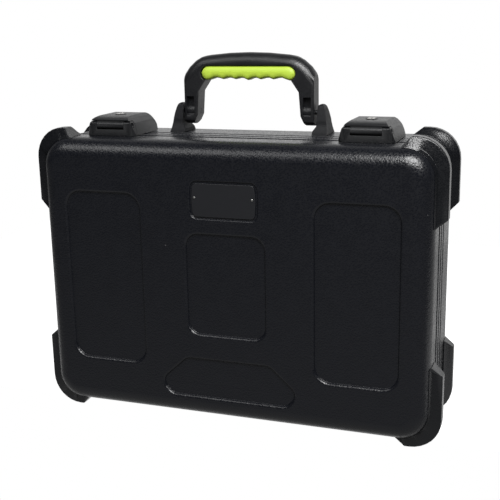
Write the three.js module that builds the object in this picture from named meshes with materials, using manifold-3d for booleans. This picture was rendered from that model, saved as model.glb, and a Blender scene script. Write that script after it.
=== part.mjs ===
// Microphone case: a moulded two-part shell that stands on its hinge edge, with a bail handle
// and two lever latches on its top edge and foam for six handheld microphones inside.
// Millimetres, +Z up. In the case frame x = 0 is the middle of the width, y = 0 is the seam plane
// with the lid in front of it at negative y, and z = 0 is mid-height of the shell.

import * as THREE from 'three';
import { mergeVertices } from 'three/addons/utils/BufferGeometryUtils.js';
import Module from 'manifold-3d';

const wasm = await Module();
wasm.setup();

// Shell
const shellWidth = 444.6;
const shellHeight = 314.5;
const shellCornerRadius = 32;
const shellEdgeRadius = 20;
const lidDepth = 44;
const baseDepth = 90;
const wallThickness = 3.6;
const faceThickness = 6;
const innerEdgeRadius = 14;
const fitGap = 0.3;
const cutOverrun = 2;

// Seam: a dark notch runs round it, with a tongue, a groove and a gasket behind
const seamGap = 0.5;
const seamNotchDepth = 3;
const seamNotchHalfWidth = 3.4;
const lipChamfer = 0.8;
const rimThickness = 5.6;
const rimDepth = 4;
const rimBlend = 2;
const tongueWidth = 2;
const tongueDepth = 2.5;
const tongueClearance = 0.5;
const grooveDepth = 5;

// Ribbed bands of the base behind the seam
const ribBandWidth = 8.5;
const ribGrooveWidth = 6;
const ribGrooveDepth = 1.6;
const ribGrooveSlope = 0.6;
const ribGrooveCount = 2;

// Recessed panels of the two faces
const panelDepth = 2.4;
const panelSlope = 2;
const panelSteepShare = 0.4;
const sidePanelWidth = 89.9;
const sidePanelMargin = 32.3;
const sidePanelEndMargin = 59.25;
const sidePanelRadius = 17;
const centrePanelHalfWidth = 44.9;
const centrePanelHalfHeight = 56.9;
const centrePanelRadius = 14;
const footPanelMargin = 25.75;
const footPanelHalf = 77;
const footPanelHeight = 44.5;
const footPanelHipRise = 10;
const footPanelShoulderRise = 18.5;
const footPanelBottomStep = 9;
const footPanelTopStep = 28.3;
const footPanelRadius = 8;

// Badge plate, left bare, and its rivets
const badgeRecessHalfWidth = 37.5;
const badgeRecessHalfHeight = 20.5;
const badgeTopMargin = 41.45;
const badgeRecessRadius = 7;
const badgeRecessDepth = 1.6;
const badgeMargin = 2.4;
const badgeBulge = 1.6;
const badgeThickness = 1.2;
const badgeRivetInset = 2.1;
const badgeRivetRise = 2.8;
const badgeRivetHeadRadius = 1.5;
const badgeRivetRadius = 1;

// Corner bumpers
const bumperFootRise = 10.6;
const bumperCornerRadius = 34;
const bumperSideLength = 73.45;
const bumperEndSlant = 9.8;
const bumperEdgeRadius = 1.5;
const bumperEdgeEaseShare = 0.3;
const bumperTipThickness = 0.8;
const bumperCoveShares = [[0.22, 0.6], [0.5, 0.28]];
const lidBumperSideRise = 12;
const lidBumperTopRise = 10;
const lidBumperTopLength = 26.5;
const lidBumperBackset = 17.6;
const lidBumperLip = 5.6;
const lidBumperThickness = 13.9;
const lidBumperCove = 5;
const baseBumperSideRise = 10.2;
const baseBumperTopRise = 7.8;
const baseBumperTopLength = 30.5;
const baseBumperBackset = 12;
const baseBumperLip = 1;
const baseBumperThickness = 10.4;
const baseBumperCove = 7.5;

// Foam
const foamSideGap = 0.7;
const lidFoamThickness = 30;
const foamCorner = 9;
const foamTrimmed = 1;
const foamPadThickness = 26;
const foamTrayThickness = 50;
const pocketCount = 6;
const pocketSideMargin = 17;
const pocketEndMargin = 18.95;
const pocketBodyWidth = 42;
const pocketBodyRadius = 8;
const pocketHeadWidth = 57;
const pocketHeadLength = 72;
const pocketHeadRadius = 24;

// Handle: a bail on two pins, carried by two brackets
const pivotBackset = 40;
const pivotRise = 23.7;
const handleLatchGap = 22.8;
const bailHalfThickness = 11.5;
const bailEdgeRadius = 1.8;
const bailLegFoot = 14.5;
const bailFootWidth = 10.2;
const bailHeelStep = 5.3;
const bailHeelRise = 10.7;
const bailLegTopStep = 2;
const bailLegTopHeight = 22.5;
const bailShoulderStart = 40;
const bailShoulderCorner = 46;
const bailKneeInset = 4.7;
const bailKneeHeight = 50;
const bailShoulderInset = 12.7;
const bailShoulderHeight = 57;
const bailCrownKneeInset = 20.7;
const bailCrownKneeHeight = 61.6;
const bailCrownEndInset = 30.7;
const bailCrownEndHeight = 63.2;
const bailCrownHeight = 66;
const bailPocketWall = 3.1;
const bailPocketWidth = 9.1;
const bailPocketTop = 17.3;
const bailPocketFloor = 4;
const bailPocketDepth = 6;
const bailBossRadius = 8;
const gripLegGap = 3.8;
const gripTopHeight = 51;
const gripEndRadius = 8.1;
const gripUndersideHeight = 37.2;
const gripHalfThickness = 12;
const gripEdgeRadius = 6;
const gripEndRun = 3;
const gripEndSteps = 4;
const gripTipShare = 0.85;
const fingerPitch = 15;
const fingerDepth = 1.1;
const fingerMiddleExtra = 0.9;
const handlePinRadius = 2.5;
const pinClearance = 0.2;
const bracketSideGap = 3;
const bracketHeight = 33.2;
const bracketFootInner = 8.2;
const bracketFootOuter = 9;
const bracketFootHeight = 4;
const bracketSlopeTop = 9.5;
const bracketEarHalf = 4.3;
const bracketWaist = 6.6;
const bracketWaistHeight = 17;
const bracketFootHalfLength = 18;
const bracketFlankHalfLength = 11;
const bracketFlankHeight = 16;
const bracketTipHalfLength = 7;
const handleStudSpread = 13;

// Latches: a bracket with two cheeks on the lid, a domed lever, and a strike on the base
const latchMargin = 45.5;
const latchHalfWidth = 30.5;
const latchHeight = 21.8;
const latchShoulderHalf = 25.8;
const latchShoulderHeight = 14;
const latchHaunchHalf = 21.8;
const latchHaunchHeight = 19.3;
const latchTopHalf = 18.6;
const latchFront = 12.6;
const latchBack = 52;
const latchPinDepth = 8.6;
const latchPinHeight = 12;
const latchPinRadius = 2;
const latchCheekInner = 16.8;
const latchCheekBack = 3.6;
const latchCheekRound = 4.4;
const latchFrontCorner = 8;
const latchBackCorner = 6;
const latchPinRecessRadius = 3.1;
const latchPinRecessDepth = 4;
const latchCheekChamfer = 2;
const latchSillHeight = 7.2;
const latchSillDepth = 3.4;
const latchPlateThickness = 1.8;
const knuckleRadius = 4.2;
const leverSlabUnderside = 17;
const leverSlabSetback = 0.7;
const leverNose = 1.4;
const leverFrontSlope = 17;
const leverBrow = 4;
const leverSkirtStart = 2.8;
const leverSkirtGap = 0.6;
const leverTopEnd = 38;
const leverTailHeight = 13;
const leverTailSetback = 4;
const leverWall = 2.6;
const leverRoof = 3;
const fingerNotchHalf = 13;
const fingerNotchHeight = 4.2;
const webHalfDepth = 2.6;
const hookDepth = 36;
const hookThickness = 2;
const hookHalfWidth = 7;
const hookPlateLength = 11;
const hookLift = 0.6;
const strikeThickness = 1.5;
const strikeHalfWidth = 9;
const strikeStart = 5;
const strikeRidgeGap = 1.5;
const strikeRidgeHeight = 5;
const strikeStudSpread = 4.5;
const strikeStudDepth = 27;
const springHalfWidth = 5;
const springThickness = 0.6;
const springStart = 8;
const springLength = 13;
const springRise = 2.4;
const lockDepth = 15;
const lockRadius = 5;
const lockRimRadius = 6.4;
const lockRimHeight = 0.4;
const lockBodyHeight = 8;
const keywayLength = 6;
const keywayWidth = 1.3;
const keywayDepth = 2.5;
const camLength = 10;
const camHalfWidth = 2.6;
const camThickness = 1.6;

// Hinges on the bottom edge
const hingeMargin = 66.3;
const hingeHalfWidth = 26;
const hingeLeafLength = 16.4;
const hingeLeafThickness = 1.6;
const hingeKnuckleRadius = 3.2;
const hingeKnuckleHalf = 8.5;
const hingeKnuckleGap = 0.4;
const hingePinRadius = 1.5;
const hingeAxisDrop = 3.5;
const hingeRivetInset = 5.8;
const hingeRivetSpread = 17;

// Rivets, and plates with studs inside the walls
const rivetRadius = 1.6;
const rivetHeadRadius = 3;
const rivetHeadHeight = 1.1;
const rivetCrownShare = 0.62;
const rivetReach = 5;
const badgeRivetHeadHeight = 0.8;
const studRadius = 1.6;
const studReach = 3;
const studPlateHalf = 2.8;
const studPlateThickness = 1.5;

// Facets
const cornerSteps = 6;
const edgeSteps = 6;
const arcSteps = 8;
const roundSteps = 3;
const bailEdgeSteps = 2;
const roundingShare = 0.46;
const undersideSteps = 18;
const boreSides = 12;
const rivetSides = 8;
const quarterTurn = Math.PI / 2;

const halfWidth = shellWidth / 2;
const halfHeight = shellHeight / 2;
const rimInset = seamNotchDepth + rimThickness;
const tongueOuter = seamNotchDepth + (rimThickness - tongueWidth) / 2;
const tongueTip = tongueDepth - seamGap / 2;
const grooveFloor = grooveDepth + seamGap / 2;
const foamInset = rimInset + foamSideGap;
const latchOffset = halfWidth - latchMargin - latchHalfWidth;
const bracketOffset = latchOffset - latchHalfWidth - handleLatchGap - bracketFootOuter;
const bailHalfWidth = bracketOffset - bracketEarHalf - bracketSideGap;
const pivotDepth = baseDepth - pivotBackset;

// Materials
function plastic(colour, roughness) {
  return new THREE.MeshStandardMaterial({ color: colour, roughness, metalness: 0 });
}
function metal(colour, roughness) {
  return new THREE.MeshStandardMaterial({ color: colour, roughness, metalness: 1 });
}
const shellBlack = plastic(0x1c1d20, 0.55);
const bumperBlack = plastic(0x17181a, 0.6);
const handleBlack = plastic(0x18191b, 0.45);
const latchBlack = plastic(0x1a1b1d, 0.4);
const gripLime = plastic(0xc4e63a, 0.5);
const foamGrey = plastic(0x2a2b2e, 0.95);
const gasketBlack = plastic(0x0c0c0d, 0.8);
const badgeBlack = plastic(0x141416, 0.35);
const steel = metal(0x9a9da1, 0.35);
const blackSteel = metal(0x2c2d30, 0.4);

// Closed bodies

// Makes one closed body of points and triangles, with its faces pointing out.
function body(points, faces) {
  const volume = faces.reduce((sum, [a, b, c]) => {
    const cross = new THREE.Vector3().crossVectors(points[b], points[c]);
    return sum + points[a].dot(cross);
  }, 0);
  const order = volume < 0 ? faces.map(([a, b, c]) => [a, c, b]) : faces;
  const geometry = new THREE.BufferGeometry().setFromPoints(points);
  geometry.setIndex(order.flat());
  return geometry;
}

// Triangles that close a flat ring of points, numbered from first and turning the ring's way.
function cap(ring, first) {
  const normal = new THREE.Vector3();
  ring.forEach((point, i) => {
    const next = ring[(i + 1) % ring.length];
    normal.add(new THREE.Vector3().crossVectors(point, next));
  });
  const { x, y, z } = normal;
  const widest = Math.max(Math.abs(x), Math.abs(y), Math.abs(z));
  const drop = widest === Math.abs(x) ? 'x' : widest === Math.abs(y) ? 'y' : 'z';
  const [u, v] = ['x', 'y', 'z'].filter((axis) => axis !== drop);
  const flat = ring.map((point) => new THREE.Vector2(point[u], point[v]));
  const clockwise = THREE.ShapeUtils.isClockWise(flat);
  if (clockwise) flat.reverse();
  const last = ring.length - 1;
  return THREE.ShapeUtils.triangulateShape(flat, []).map((face) => {
    return clockwise ? face.map((i) => first + last - i).reverse() : face.map((i) => first + i);
  });
}

// Skins rings of equal count. The ends are capped, or a looped skin runs back to its first ring.
function loft(rings, looped = false) {
  const count = rings[0].length;
  const faces = [];
  rings.forEach((ring, i) => {
    if (i === rings.length - 1 && !looped) return;
    const here = i * count;
    const there = ((i + 1) % rings.length) * count;
    ring.forEach((point, j) => {
      const k = (j + 1) % count;
      faces.push([here + j, here + k, there + k], [here + j, there + k, there + j]);
    });
  });
  if (!looped) {
    cap(rings[0], 0).forEach(([a, b, c]) => faces.push([a, c, b]));
    faces.push(...cap(rings.at(-1), (rings.length - 1) * count));
  }
  return body(rings.flat(), faces);
}

function toSolid(geometry) {
  const bare = geometry.clone();
  bare.deleteAttribute('normal');
  bare.deleteAttribute('uv');
  const merged = mergeVertices(bare);
  return new wasm.Manifold(new wasm.Mesh({
    numProp: 3,
    vertProperties: new Float32Array(merged.attributes.position.array),
    triVerts: new Uint32Array(merged.index.array),
  }));
}

function toGeometry(solid) {
  const { vertProperties, triVerts } = solid.getMesh();
  const geometry = new THREE.BufferGeometry();
  geometry.setAttribute('position', new THREE.BufferAttribute(vertProperties, 3));
  geometry.setIndex(new THREE.BufferAttribute(triVerts, 1));
  return geometry;
}

function join(...geometries) {
  return toGeometry(geometries.map(toSolid).reduce((whole, piece) => whole.add(piece)));
}

function cut(geometry, ...tools) {
  return toGeometry(tools.reduce((rest, tool) => rest.subtract(toSolid(tool)), toSolid(geometry)));
}

function meet(geometry, other) {
  return toGeometry(toSolid(geometry).intersect(toSolid(other)));
}

// A box between two corners.
function block(x0, x1, y0, y1, z0, z1) {
  const box = new THREE.BoxGeometry(Math.abs(x1 - x0), Math.abs(y1 - y0), Math.abs(z1 - z0));
  return box.translate((x0 + x1) / 2, (y0 + y1) / 2, (z0 + z1) / 2);
}

// A round bar along X, centred on (y, z).
function barX(radius, x0, x1, y, z, sides = boreSides) {
  const bar = new THREE.CylinderGeometry(radius, radius, Math.abs(x1 - x0), sides);
  return bar.rotateZ(quarterTurn).translate((x0 + x1) / 2, y, z);
}

// A round bar along Z, centred on (x, y).
function barZ(radius, x, y, z0, z1, sides = boreSides) {
  const bar = new THREE.CylinderGeometry(radius, radius, Math.abs(z1 - z0), sides);
  return bar.rotateX(quarterTurn).translate(x, y, (z0 + z1) / 2);
}

// Points of an outline with its corners rounded off. A corner may carry its own radius.
function roundedPoints(points, radius, steps = roundSteps) {
  const count = points.length;
  return points.flatMap(([x, y, own], i) => {
    const corner = new THREE.Vector2(x, y);
    const before = new THREE.Vector2(...points[(i + count - 1) % count].slice(0, 2)).sub(corner);
    const after = new THREE.Vector2(...points[(i + 1) % count].slice(0, 2)).sub(corner);
    const room = roundingShare * Math.min(before.length(), after.length());
    const reach = Math.min(own ?? radius, room);
    const into = corner.clone().add(before.setLength(reach));
    const out = corner.clone().add(after.setLength(reach));
    return new THREE.QuadraticBezierCurve(into, corner, out).getPoints(steps);
  });
}

function rounded(points, radius = 0) {
  return new THREE.Shape(roundedPoints(points, radius));
}

// Extrudes a shape drawn in x and z along Y, with its edges rounded off where edge is given.
function extrudeY(shape, y0, y1, edge = 0, steps = edgeSteps) {
  const options = { depth: y1 - y0 - 2 * edge, curveSegments: steps, bevelEnabled: edge > 0 };
  if (edge > 0) {
    options.bevelThickness = edge;
    options.bevelSize = edge;
    options.bevelOffset = -edge;
    options.bevelSegments = bailEdgeSteps;
  }
  return new THREE.ExtrudeGeometry(shape, options).rotateX(quarterTurn).translate(0, y1 - edge, 0);
}

// Extrudes a shape drawn in y and z along X.
function extrudeX(shape, x0, x1, steps = edgeSteps) {
  const options = { depth: x1 - x0, curveSegments: steps, bevelEnabled: false };
  const bar = new THREE.ExtrudeGeometry(shape, options);
  const turn = new THREE.Matrix4().makeBasis(
    new THREE.Vector3(0, 1, 0),
    new THREE.Vector3(0, 0, 1),
    new THREE.Vector3(1, 0, 0),
  );
  return bar.applyMatrix4(turn).translate(x0, 0, 0);
}

// A plain round rivet along Z, its head below z = 0 and its shank reaching up.
function rivetGeometry(headRadius, headHeight, radius, reach) {
  const profile = [
    [0, -headHeight],
    [headRadius * rivetCrownShare, -headHeight],
    [headRadius, 0],
    [radius, 0],
    [radius, reach],
    [0, reach],
  ].map(([r, h]) => new THREE.Vector2(r, h));
  return new THREE.LatheGeometry(profile, rivetSides).rotateX(quarterTurn);
}

function pointsOf(geometry) {
  const position = geometry.getAttribute('position');
  return Array.from({ length: position.count }, (_, i) => {
    return new THREE.Vector3().fromBufferAttribute(position, i);
  });
}

function indexTriples(geometry) {
  const index = geometry.getIndex().array;
  return Array.from({ length: index.length / 3 }, (_, i) => Array.from(index.slice(3 * i, 3 * i + 3)));
}

function mirroredX(geometry) {
  const flip = new THREE.Vector3(-1, 1, 1);
  return body(pointsOf(geometry).map((point) => point.multiply(flip)), indexTriples(geometry));
}

function piece(name, geometry, material) {
  const mesh = new THREE.Mesh(geometry, material);
  mesh.name = name;
  return mesh;
}

// Shells

// The shell's outline at a depth, drawn in by an inset, as a ring of points.
function outlineRing(depth, inset) {
  const radius = Math.max(shellCornerRadius - inset, shellEdgeRadius / 2);
  const cx = halfWidth - inset - radius;
  const cz = halfHeight - inset - radius;
  const corners = [[1, 1], [-1, 1], [-1, -1], [1, -1]];
  return corners.flatMap(([sx, sz], quarter) => {
    return Array.from({ length: cornerSteps + 1 }, (_, step) => {
      const angle = (quarter + step / cornerSteps) * quarterTurn;
      return new THREE.Vector3(
        sx * cx + radius * Math.cos(angle),
        depth,
        sz * cz + radius * Math.sin(angle),
      );
    });
  });
}

// Depth and inset pairs of a rounded outer edge, from the face to the side.
function edgeRun(depth, radius, inset, steps, towards) {
  return Array.from({ length: steps + 1 }, (_, i) => {
    const angle = (i / steps) * quarterTurn;
    return [
      depth + towards * radius * (1 - Math.cos(angle)),
      inset + radius * (1 - Math.sin(angle)),
    ];
  });
}

// Grooves between the ribbed bands, starting behind the base's lip.
function ribRun(start) {
  return Array.from({ length: ribGrooveCount }, (_, i) => {
    const groove = start + ribBandWidth + i * (ribGrooveWidth + ribBandWidth);
    return [
      [groove, 0],
      [groove + ribGrooveSlope, ribGrooveDepth],
      [groove + ribGrooveWidth - ribGrooveSlope, ribGrooveDepth],
      [groove + ribGrooveWidth, 0],
    ];
  }).flat();
}

function lidProfile() {
  const lip = -seamNotchHalfWidth;
  const mating = -seamGap / 2;
  return [
    ...edgeRun(-lidDepth, shellEdgeRadius, 0, edgeSteps, 1),
    [lip - lipChamfer, 0],
    [lip, lipChamfer],
    [lip, seamNotchDepth],
    [mating, seamNotchDepth],
    [mating, tongueOuter],
    [tongueTip, tongueOuter],
    [tongueTip, tongueOuter + tongueWidth],
    [mating, tongueOuter + tongueWidth],
    [mating, rimInset],
    [-rimDepth, rimInset],
    [-rimDepth - rimBlend, wallThickness],
    ...edgeRun(faceThickness - lidDepth, innerEdgeRadius, wallThickness, edgeSteps / 2, 1).reverse(),
  ];
}

function baseProfile() {
  const lip = seamNotchHalfWidth;
  const mating = seamGap / 2;
  const grooveOuter = tongueOuter - tongueClearance;
  const grooveInner = tongueOuter + tongueWidth + tongueClearance;
  return [
    ...edgeRun(baseDepth, shellEdgeRadius, 0, edgeSteps, -1),
    ...ribRun(lip).reverse(),
    [lip + lipChamfer, 0],
    [lip, lipChamfer],
    [lip, seamNotchDepth],
    [mating, seamNotchDepth],
    [mating, grooveOuter],
    [grooveFloor, grooveOuter],
    [grooveFloor, grooveInner],
    [mating, grooveInner],
    [mating, rimInset],
    [grooveFloor + rimBlend, rimInset],
    [grooveFloor + 2 * rimBlend, wallThickness],
    ...edgeRun(baseDepth - faceThickness, innerEdgeRadius, wallThickness, edgeSteps / 2, -1).reverse(),
  ];
}

function shellBody(profile) {
  return loft(profile.map(([depth, inset]) => outlineRing(depth, inset)));
}

// Moves each side of a convex outline outwards by a distance.
function grown(points, distance) {
  const sides = points.map((point, i) => {
    const start = new THREE.Vector2(...point);
    const along = new THREE.Vector2(...points[(i + 1) % points.length]).sub(start).normalize();
    return { start: start.add(new THREE.Vector2(along.y, -along.x).multiplyScalar(distance)), along };
  });
  return sides.map((side, i) => {
    const last = sides[(i + sides.length - 1) % sides.length];
    const gap = side.start.clone().sub(last.start);
    const share = gap.cross(side.along) / last.along.cross(side.along);
    return last.start.clone().addScaledVector(last.along, share).toArray();
  });
}

// The block that a recessed panel takes out of a face, wider at the face than at its floor.
function panelCutter(points, radius, face, depth, inwards) {
  const ring = (share, y) => {
    const outline = roundedPoints(grown(points, share * panelSlope), radius + share * panelSlope);
    return outline.map(({ x, y: z }) => new THREE.Vector3(x, y, z));
  };
  return loft([
    ring(1, face - inwards * cutOverrun),
    ring(1, face),
    ring(panelSteepShare, face + inwards * depth / 2),
    ring(0, face + inwards * depth),
  ]);
}

function rectangle(x0, x1, z0, z1) {
  return [[x0, z0], [x1, z0], [x1, z1], [x0, z1]];
}

// Two tall side panels and a middle one, as both faces carry.
function panelCutters(face, inwards) {
  const height = halfHeight - sidePanelEndMargin;
  const outer = halfWidth - sidePanelMargin;
  const inner = outer - sidePanelWidth;
  const tall = [rectangle(inner, outer, -height, height), rectangle(-outer, -inner, -height, height)];
  const middle = rectangle(
    -centrePanelHalfWidth,
    centrePanelHalfWidth,
    -centrePanelHalfHeight,
    centrePanelHalfHeight,
  );
  return [
    ...tall.map((outline) => panelCutter(outline, sidePanelRadius, face, panelDepth, inwards)),
    panelCutter(middle, centrePanelRadius, face, panelDepth, inwards),
  ];
}

function footPanelCutter() {
  const bottom = footPanelMargin - halfHeight;
  const right = [
    [footPanelHalf - footPanelBottomStep, bottom],
    [footPanelHalf, bottom + footPanelHipRise],
    [footPanelHalf, bottom + footPanelShoulderRise],
    [footPanelHalf - footPanelTopStep, bottom + footPanelHeight],
  ];
  const points = [...right, ...right.map(([x, z]) => [-x, z]).reverse()];
  return panelCutter(points, footPanelRadius, -lidDepth, panelDepth, 1);
}

const badgeRecessHeight = halfHeight - badgeTopMargin - badgeRecessHalfHeight;

function badgeOutline(inset) {
  const half = badgeRecessHalfWidth - inset;
  const low = badgeRecessHeight - badgeRecessHalfHeight + inset;
  const high = badgeRecessHeight + badgeRecessHalfHeight - inset;
  return [
    [-half, low],
    [half, low],
    [half + badgeBulge, badgeRecessHeight],
    [half, high],
    [-half, high],
    [-half - badgeBulge, badgeRecessHeight],
  ];
}

// Where studs and rivets pass through the walls
const sides = { left: -1, right: 1 };
const latchCheekMiddle = (latchCheekInner + latchHalfWidth) / 2;
const latchStudDepth = -rimDepth - rimBlend - fitGap - studPlateHalf;
const hingeOffset = halfWidth - hingeMargin - hingeHalfWidth;
const hinges = { left: -hingeOffset, centre: 0, right: hingeOffset };
const hingeLeafFar = hingeKnuckleRadius + hingeKnuckleGap + hingeLeafLength;
const hingeRivetRow = hingeLeafFar - hingeRivetInset;
const hingeRivetPlaces = Object.values(hinges).flatMap((x) => {
  return [x - hingeRivetSpread, x + hingeRivetSpread];
});
const badgeRivetHalf = badgeRecessHalfWidth - badgeMargin - badgeRivetInset;
const badgeRivetHeight = badgeRecessHeight + badgeRivetRise;
const badgeFloor = -lidDepth + badgeRecessDepth;

// Pairs of holes through the top wall, for the fittings on the left and on the right.
function topHoles(offset, spreadX, spreadY, y) {
  const floor = halfHeight - wallThickness - cutOverrun;
  return Object.values(sides).flatMap((side) => Object.values(sides).map((end) => barZ(
    studRadius + fitGap,
    side * offset + end * spreadX,
    y + end * spreadY,
    floor,
    halfHeight + cutOverrun,
    rivetSides,
  )));
}

// Holes through the bottom wall, on the row of the hinge rivets.
function bottomHoles(row) {
  const ceiling = wallThickness + cutOverrun - halfHeight;
  return hingeRivetPlaces.map((x) => {
    return barZ(rivetRadius + fitGap, x, row, -halfHeight - cutOverrun, ceiling, rivetSides);
  });
}

function badgeHoles(y0, y1) {
  const radius = badgeRivetRadius + fitGap;
  return Object.values(sides).map((side) => {
    const hole = new THREE.CylinderGeometry(radius, radius, y1 - y0, rivetSides);
    return hole.translate(side * badgeRivetHalf, (y0 + y1) / 2, badgeRivetHeight);
  });
}

function lidShell() {
  return cut(
    shellBody(lidProfile()),
    ...panelCutters(-lidDepth, 1),
    footPanelCutter(),
    panelCutter(badgeOutline(0), badgeRecessRadius, -lidDepth, badgeRecessDepth, 1),
    ...badgeHoles(-lidDepth, faceThickness + cutOverrun - lidDepth),
    ...topHoles(latchOffset, latchCheekMiddle, 0, latchStudDepth),
    ...bottomHoles(-hingeRivetRow),
  );
}

function baseShell() {
  return cut(
    shellBody(baseProfile()),
    ...panelCutters(baseDepth, -1),
    ...topHoles(latchOffset, strikeStudSpread, 0, strikeStudDepth),
    ...topHoles(bracketOffset, 0, handleStudSpread, pivotDepth),
    ...bottomHoles(hingeRivetRow),
  );
}

// A gasket lies on the floor of the base's groove, just short of the lid's tongue.
function gasket() {
  const outer = tongueOuter - tongueClearance + fitGap;
  const inner = tongueOuter + tongueWidth + tongueClearance - fitGap;
  const near = tongueTip + fitGap;
  const far = grooveFloor - fitGap;
  const section = [[near, outer], [near, inner], [far, inner], [far, outer]];
  return loft(section.map(([y, inset]) => outlineRing(y, inset)), true);
}

// The bare badge plate with bulged ends.
function badgePlate() {
  const shape = rounded(badgeOutline(badgeMargin), badgeRecessRadius - badgeMargin);
  const back = badgeFloor - fitGap;
  const front = back - badgeThickness;
  return cut(extrudeY(shape, front, back), ...badgeHoles(front - cutOverrun, back + cutOverrun));
}

function badgeRivet() {
  const seat = badgeFloor - 2 * fitGap - badgeThickness;
  const upright = rivetGeometry(
    badgeRivetHeadRadius,
    badgeRivetHeadHeight,
    badgeRivetRadius,
    rivetReach,
  );
  return upright.rotateX(-quarterTurn).translate(0, seat, badgeRivetHeight);
}

// Corner bumpers

// Stations round a bumper from its side end to its top end, each as its inner and outer points
// and the way out of the shell there.
function bumperStations({ sideRise, endRise, endLength }) {
  const innerX = halfWidth + fitGap;
  const innerZ = halfHeight + fitGap;
  const outerX = halfWidth + sideRise;
  const outerZ = halfHeight + endRise;
  const innerRadius = shellCornerRadius + fitGap;
  const sideEnd = halfHeight - bumperSideLength;
  const topEnd = halfWidth - endLength;
  const at = (x, z) => new THREE.Vector2(x, z);
  const arc = Array.from({ length: arcSteps + 1 }, (_, i) => {
    const angle = (i / arcSteps) * quarterTurn;
    const out = at(Math.cos(angle), Math.sin(angle));
    const place = (x, z, radius) => at(x - radius, z - radius).addScaledVector(out, radius);
    return [place(innerX, innerZ, innerRadius), place(outerX, outerZ, bumperCornerRadius), out];
  });
  return [
    [at(innerX, sideEnd - bumperEndSlant), at(outerX, sideEnd), at(1, 0)],
    ...arc,
    [at(topEnd - bumperEndSlant, innerZ), at(topEnd, outerZ), at(0, 1)],
  ];
}

// How far the shell's rounded edge has drawn in at a distance past the straight side wall.
function edgeInset(reach) {
  return shellEdgeRadius - Math.sqrt(shellEdgeRadius ** 2 - reach ** 2);
}

// A bumper reaches over the shell's rounded edge, past its own face, with a thin lip.
function bumperLip(lip, backset) {
  const start = shellEdgeRadius - backset;
  return [start, (start - lip) / 2, -lip].map((depth) => [depth, 0, edgeInset(start - depth)]);
}

// A bumper's section as depth from its face and share of its rise, with a cove on one side. Only
// the lip's points draw in with the shell, by a third number.
function bumperSection(thickness, cove, inner) {
  const edge = bumperEdgeRadius;
  const edgeShare = edge / bumperFootRise;
  const tipShare = bumperTipThickness / bumperFootRise;
  const ease = bumperEdgeEaseShare;
  return [
    ...inner,
    [0, 1 - edgeShare],
    [edge * ease, 1 - edgeShare * ease],
    [edge, 1],
    [thickness - edge, 1],
    [thickness, 1 - edgeShare],
    ...bumperCoveShares.map(([along, rise]) => [thickness + cove * along, rise]),
    [thickness + cove, tipShare],
    [thickness + cove, 0],
  ];
}

function cornerBumper(face, towards, section, rises, sx, sz) {
  return loft(bumperStations(rises).map(([inner, outer, out]) => {
    return section.map(([depth, share, inset = 0]) => {
      const point = inner.clone().lerp(outer, share).addScaledVector(out, -inset);
      return new THREE.Vector3(sx * point.x, face + towards * depth, sz * point.y);
    });
  }));
}

const bumperCorners = {
  top_left: [-1, 1],
  top_right: [1, 1],
  bottom_left: [-1, -1],
  bottom_right: [1, -1],
};

function lidBumpers() {
  const face = lidBumperBackset - lidDepth;
  const lip = bumperLip(lidBumperLip, lidBumperBackset);
  const section = bumperSection(lidBumperThickness, lidBumperCove, lip);
  return Object.entries(bumperCorners).map(([name, [sx, sz]]) => {
    const rises = {
      sideRise: lidBumperSideRise,
      endRise: sz > 0 ? lidBumperTopRise : bumperFootRise,
      endLength: lidBumperTopLength,
    };
    const shape = cornerBumper(face, 1, section, rises, sx, sz);
    return piece(`lid_bumper_${name}`, shape, bumperBlack);
  });
}

function baseBumpers() {
  const face = baseDepth - baseBumperBackset;
  const lip = bumperLip(baseBumperLip, baseBumperBackset);
  const section = bumperSection(baseBumperThickness, baseBumperCove, lip);
  return Object.entries(bumperCorners).map(([name, [sx, sz]]) => {
    const rises = {
      sideRise: baseBumperSideRise,
      endRise: sz > 0 ? baseBumperTopRise : bumperFootRise,
      endLength: baseBumperTopLength,
    };
    const shape = cornerBumper(face, -1, section, rises, sx, sz);
    return piece(`base_bumper_${name}`, shape, bumperBlack);
  });
}

// Foam

const foamBack = baseDepth - faceThickness - fitGap;
const trayBack = foamBack - foamPadThickness - fitGap;

// A sheet of foam from the face side to the open side, its face edge cut off at an angle.
function foamSheet(face, open, corner) {
  const towards = Math.sign(open - face);
  return loft([
    outlineRing(face, foamInset + corner),
    outlineRing(face + towards * corner, foamInset),
    outlineRing(open, foamInset),
  ]);
}

// A microphone's pocket: a long body with a wider head at one end, which alternates.
function pocketShape(x, headUp) {
  const end = halfHeight - foamInset - pocketEndMargin;
  const neck = end - pocketHeadLength;
  const half = pocketBodyWidth / 2;
  const head = pocketHeadWidth / 2;
  const right = [
    [half, -end, pocketBodyRadius],
    [half, neck - (head - half), pocketBodyRadius],
    [head, neck, pocketBodyRadius],
    [head, end, pocketHeadRadius],
  ];
  const left = right.map(([px, pz, radius]) => [-px, pz, radius]).reverse();
  return rounded([...right, ...left].map(([px, pz, radius]) => [x + px, headUp * pz, radius]));
}

function foamTray() {
  const front = trayBack - foamTrayThickness;
  const row = shellWidth - 2 * foamInset - 2 * pocketSideMargin - pocketHeadWidth;
  const pitch = row / (pocketCount - 1);
  const pockets = Array.from({ length: pocketCount }, (_, i) => {
    const x = i * pitch - row / 2;
    return extrudeY(pocketShape(x, i % 2 ? -1 : 1), front - cutOverrun, trayBack + cutOverrun);
  });
  return cut(foamSheet(trayBack, front, foamTrimmed), ...pockets);
}

function foamPad() {
  return foamSheet(foamBack, foamBack - foamPadThickness, foamCorner);
}

function lidFoam() {
  const face = faceThickness - lidDepth + fitGap;
  return foamSheet(face, face + lidFoamThickness, foamCorner);
}

// Handle, drawn about its pivot axis

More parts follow.
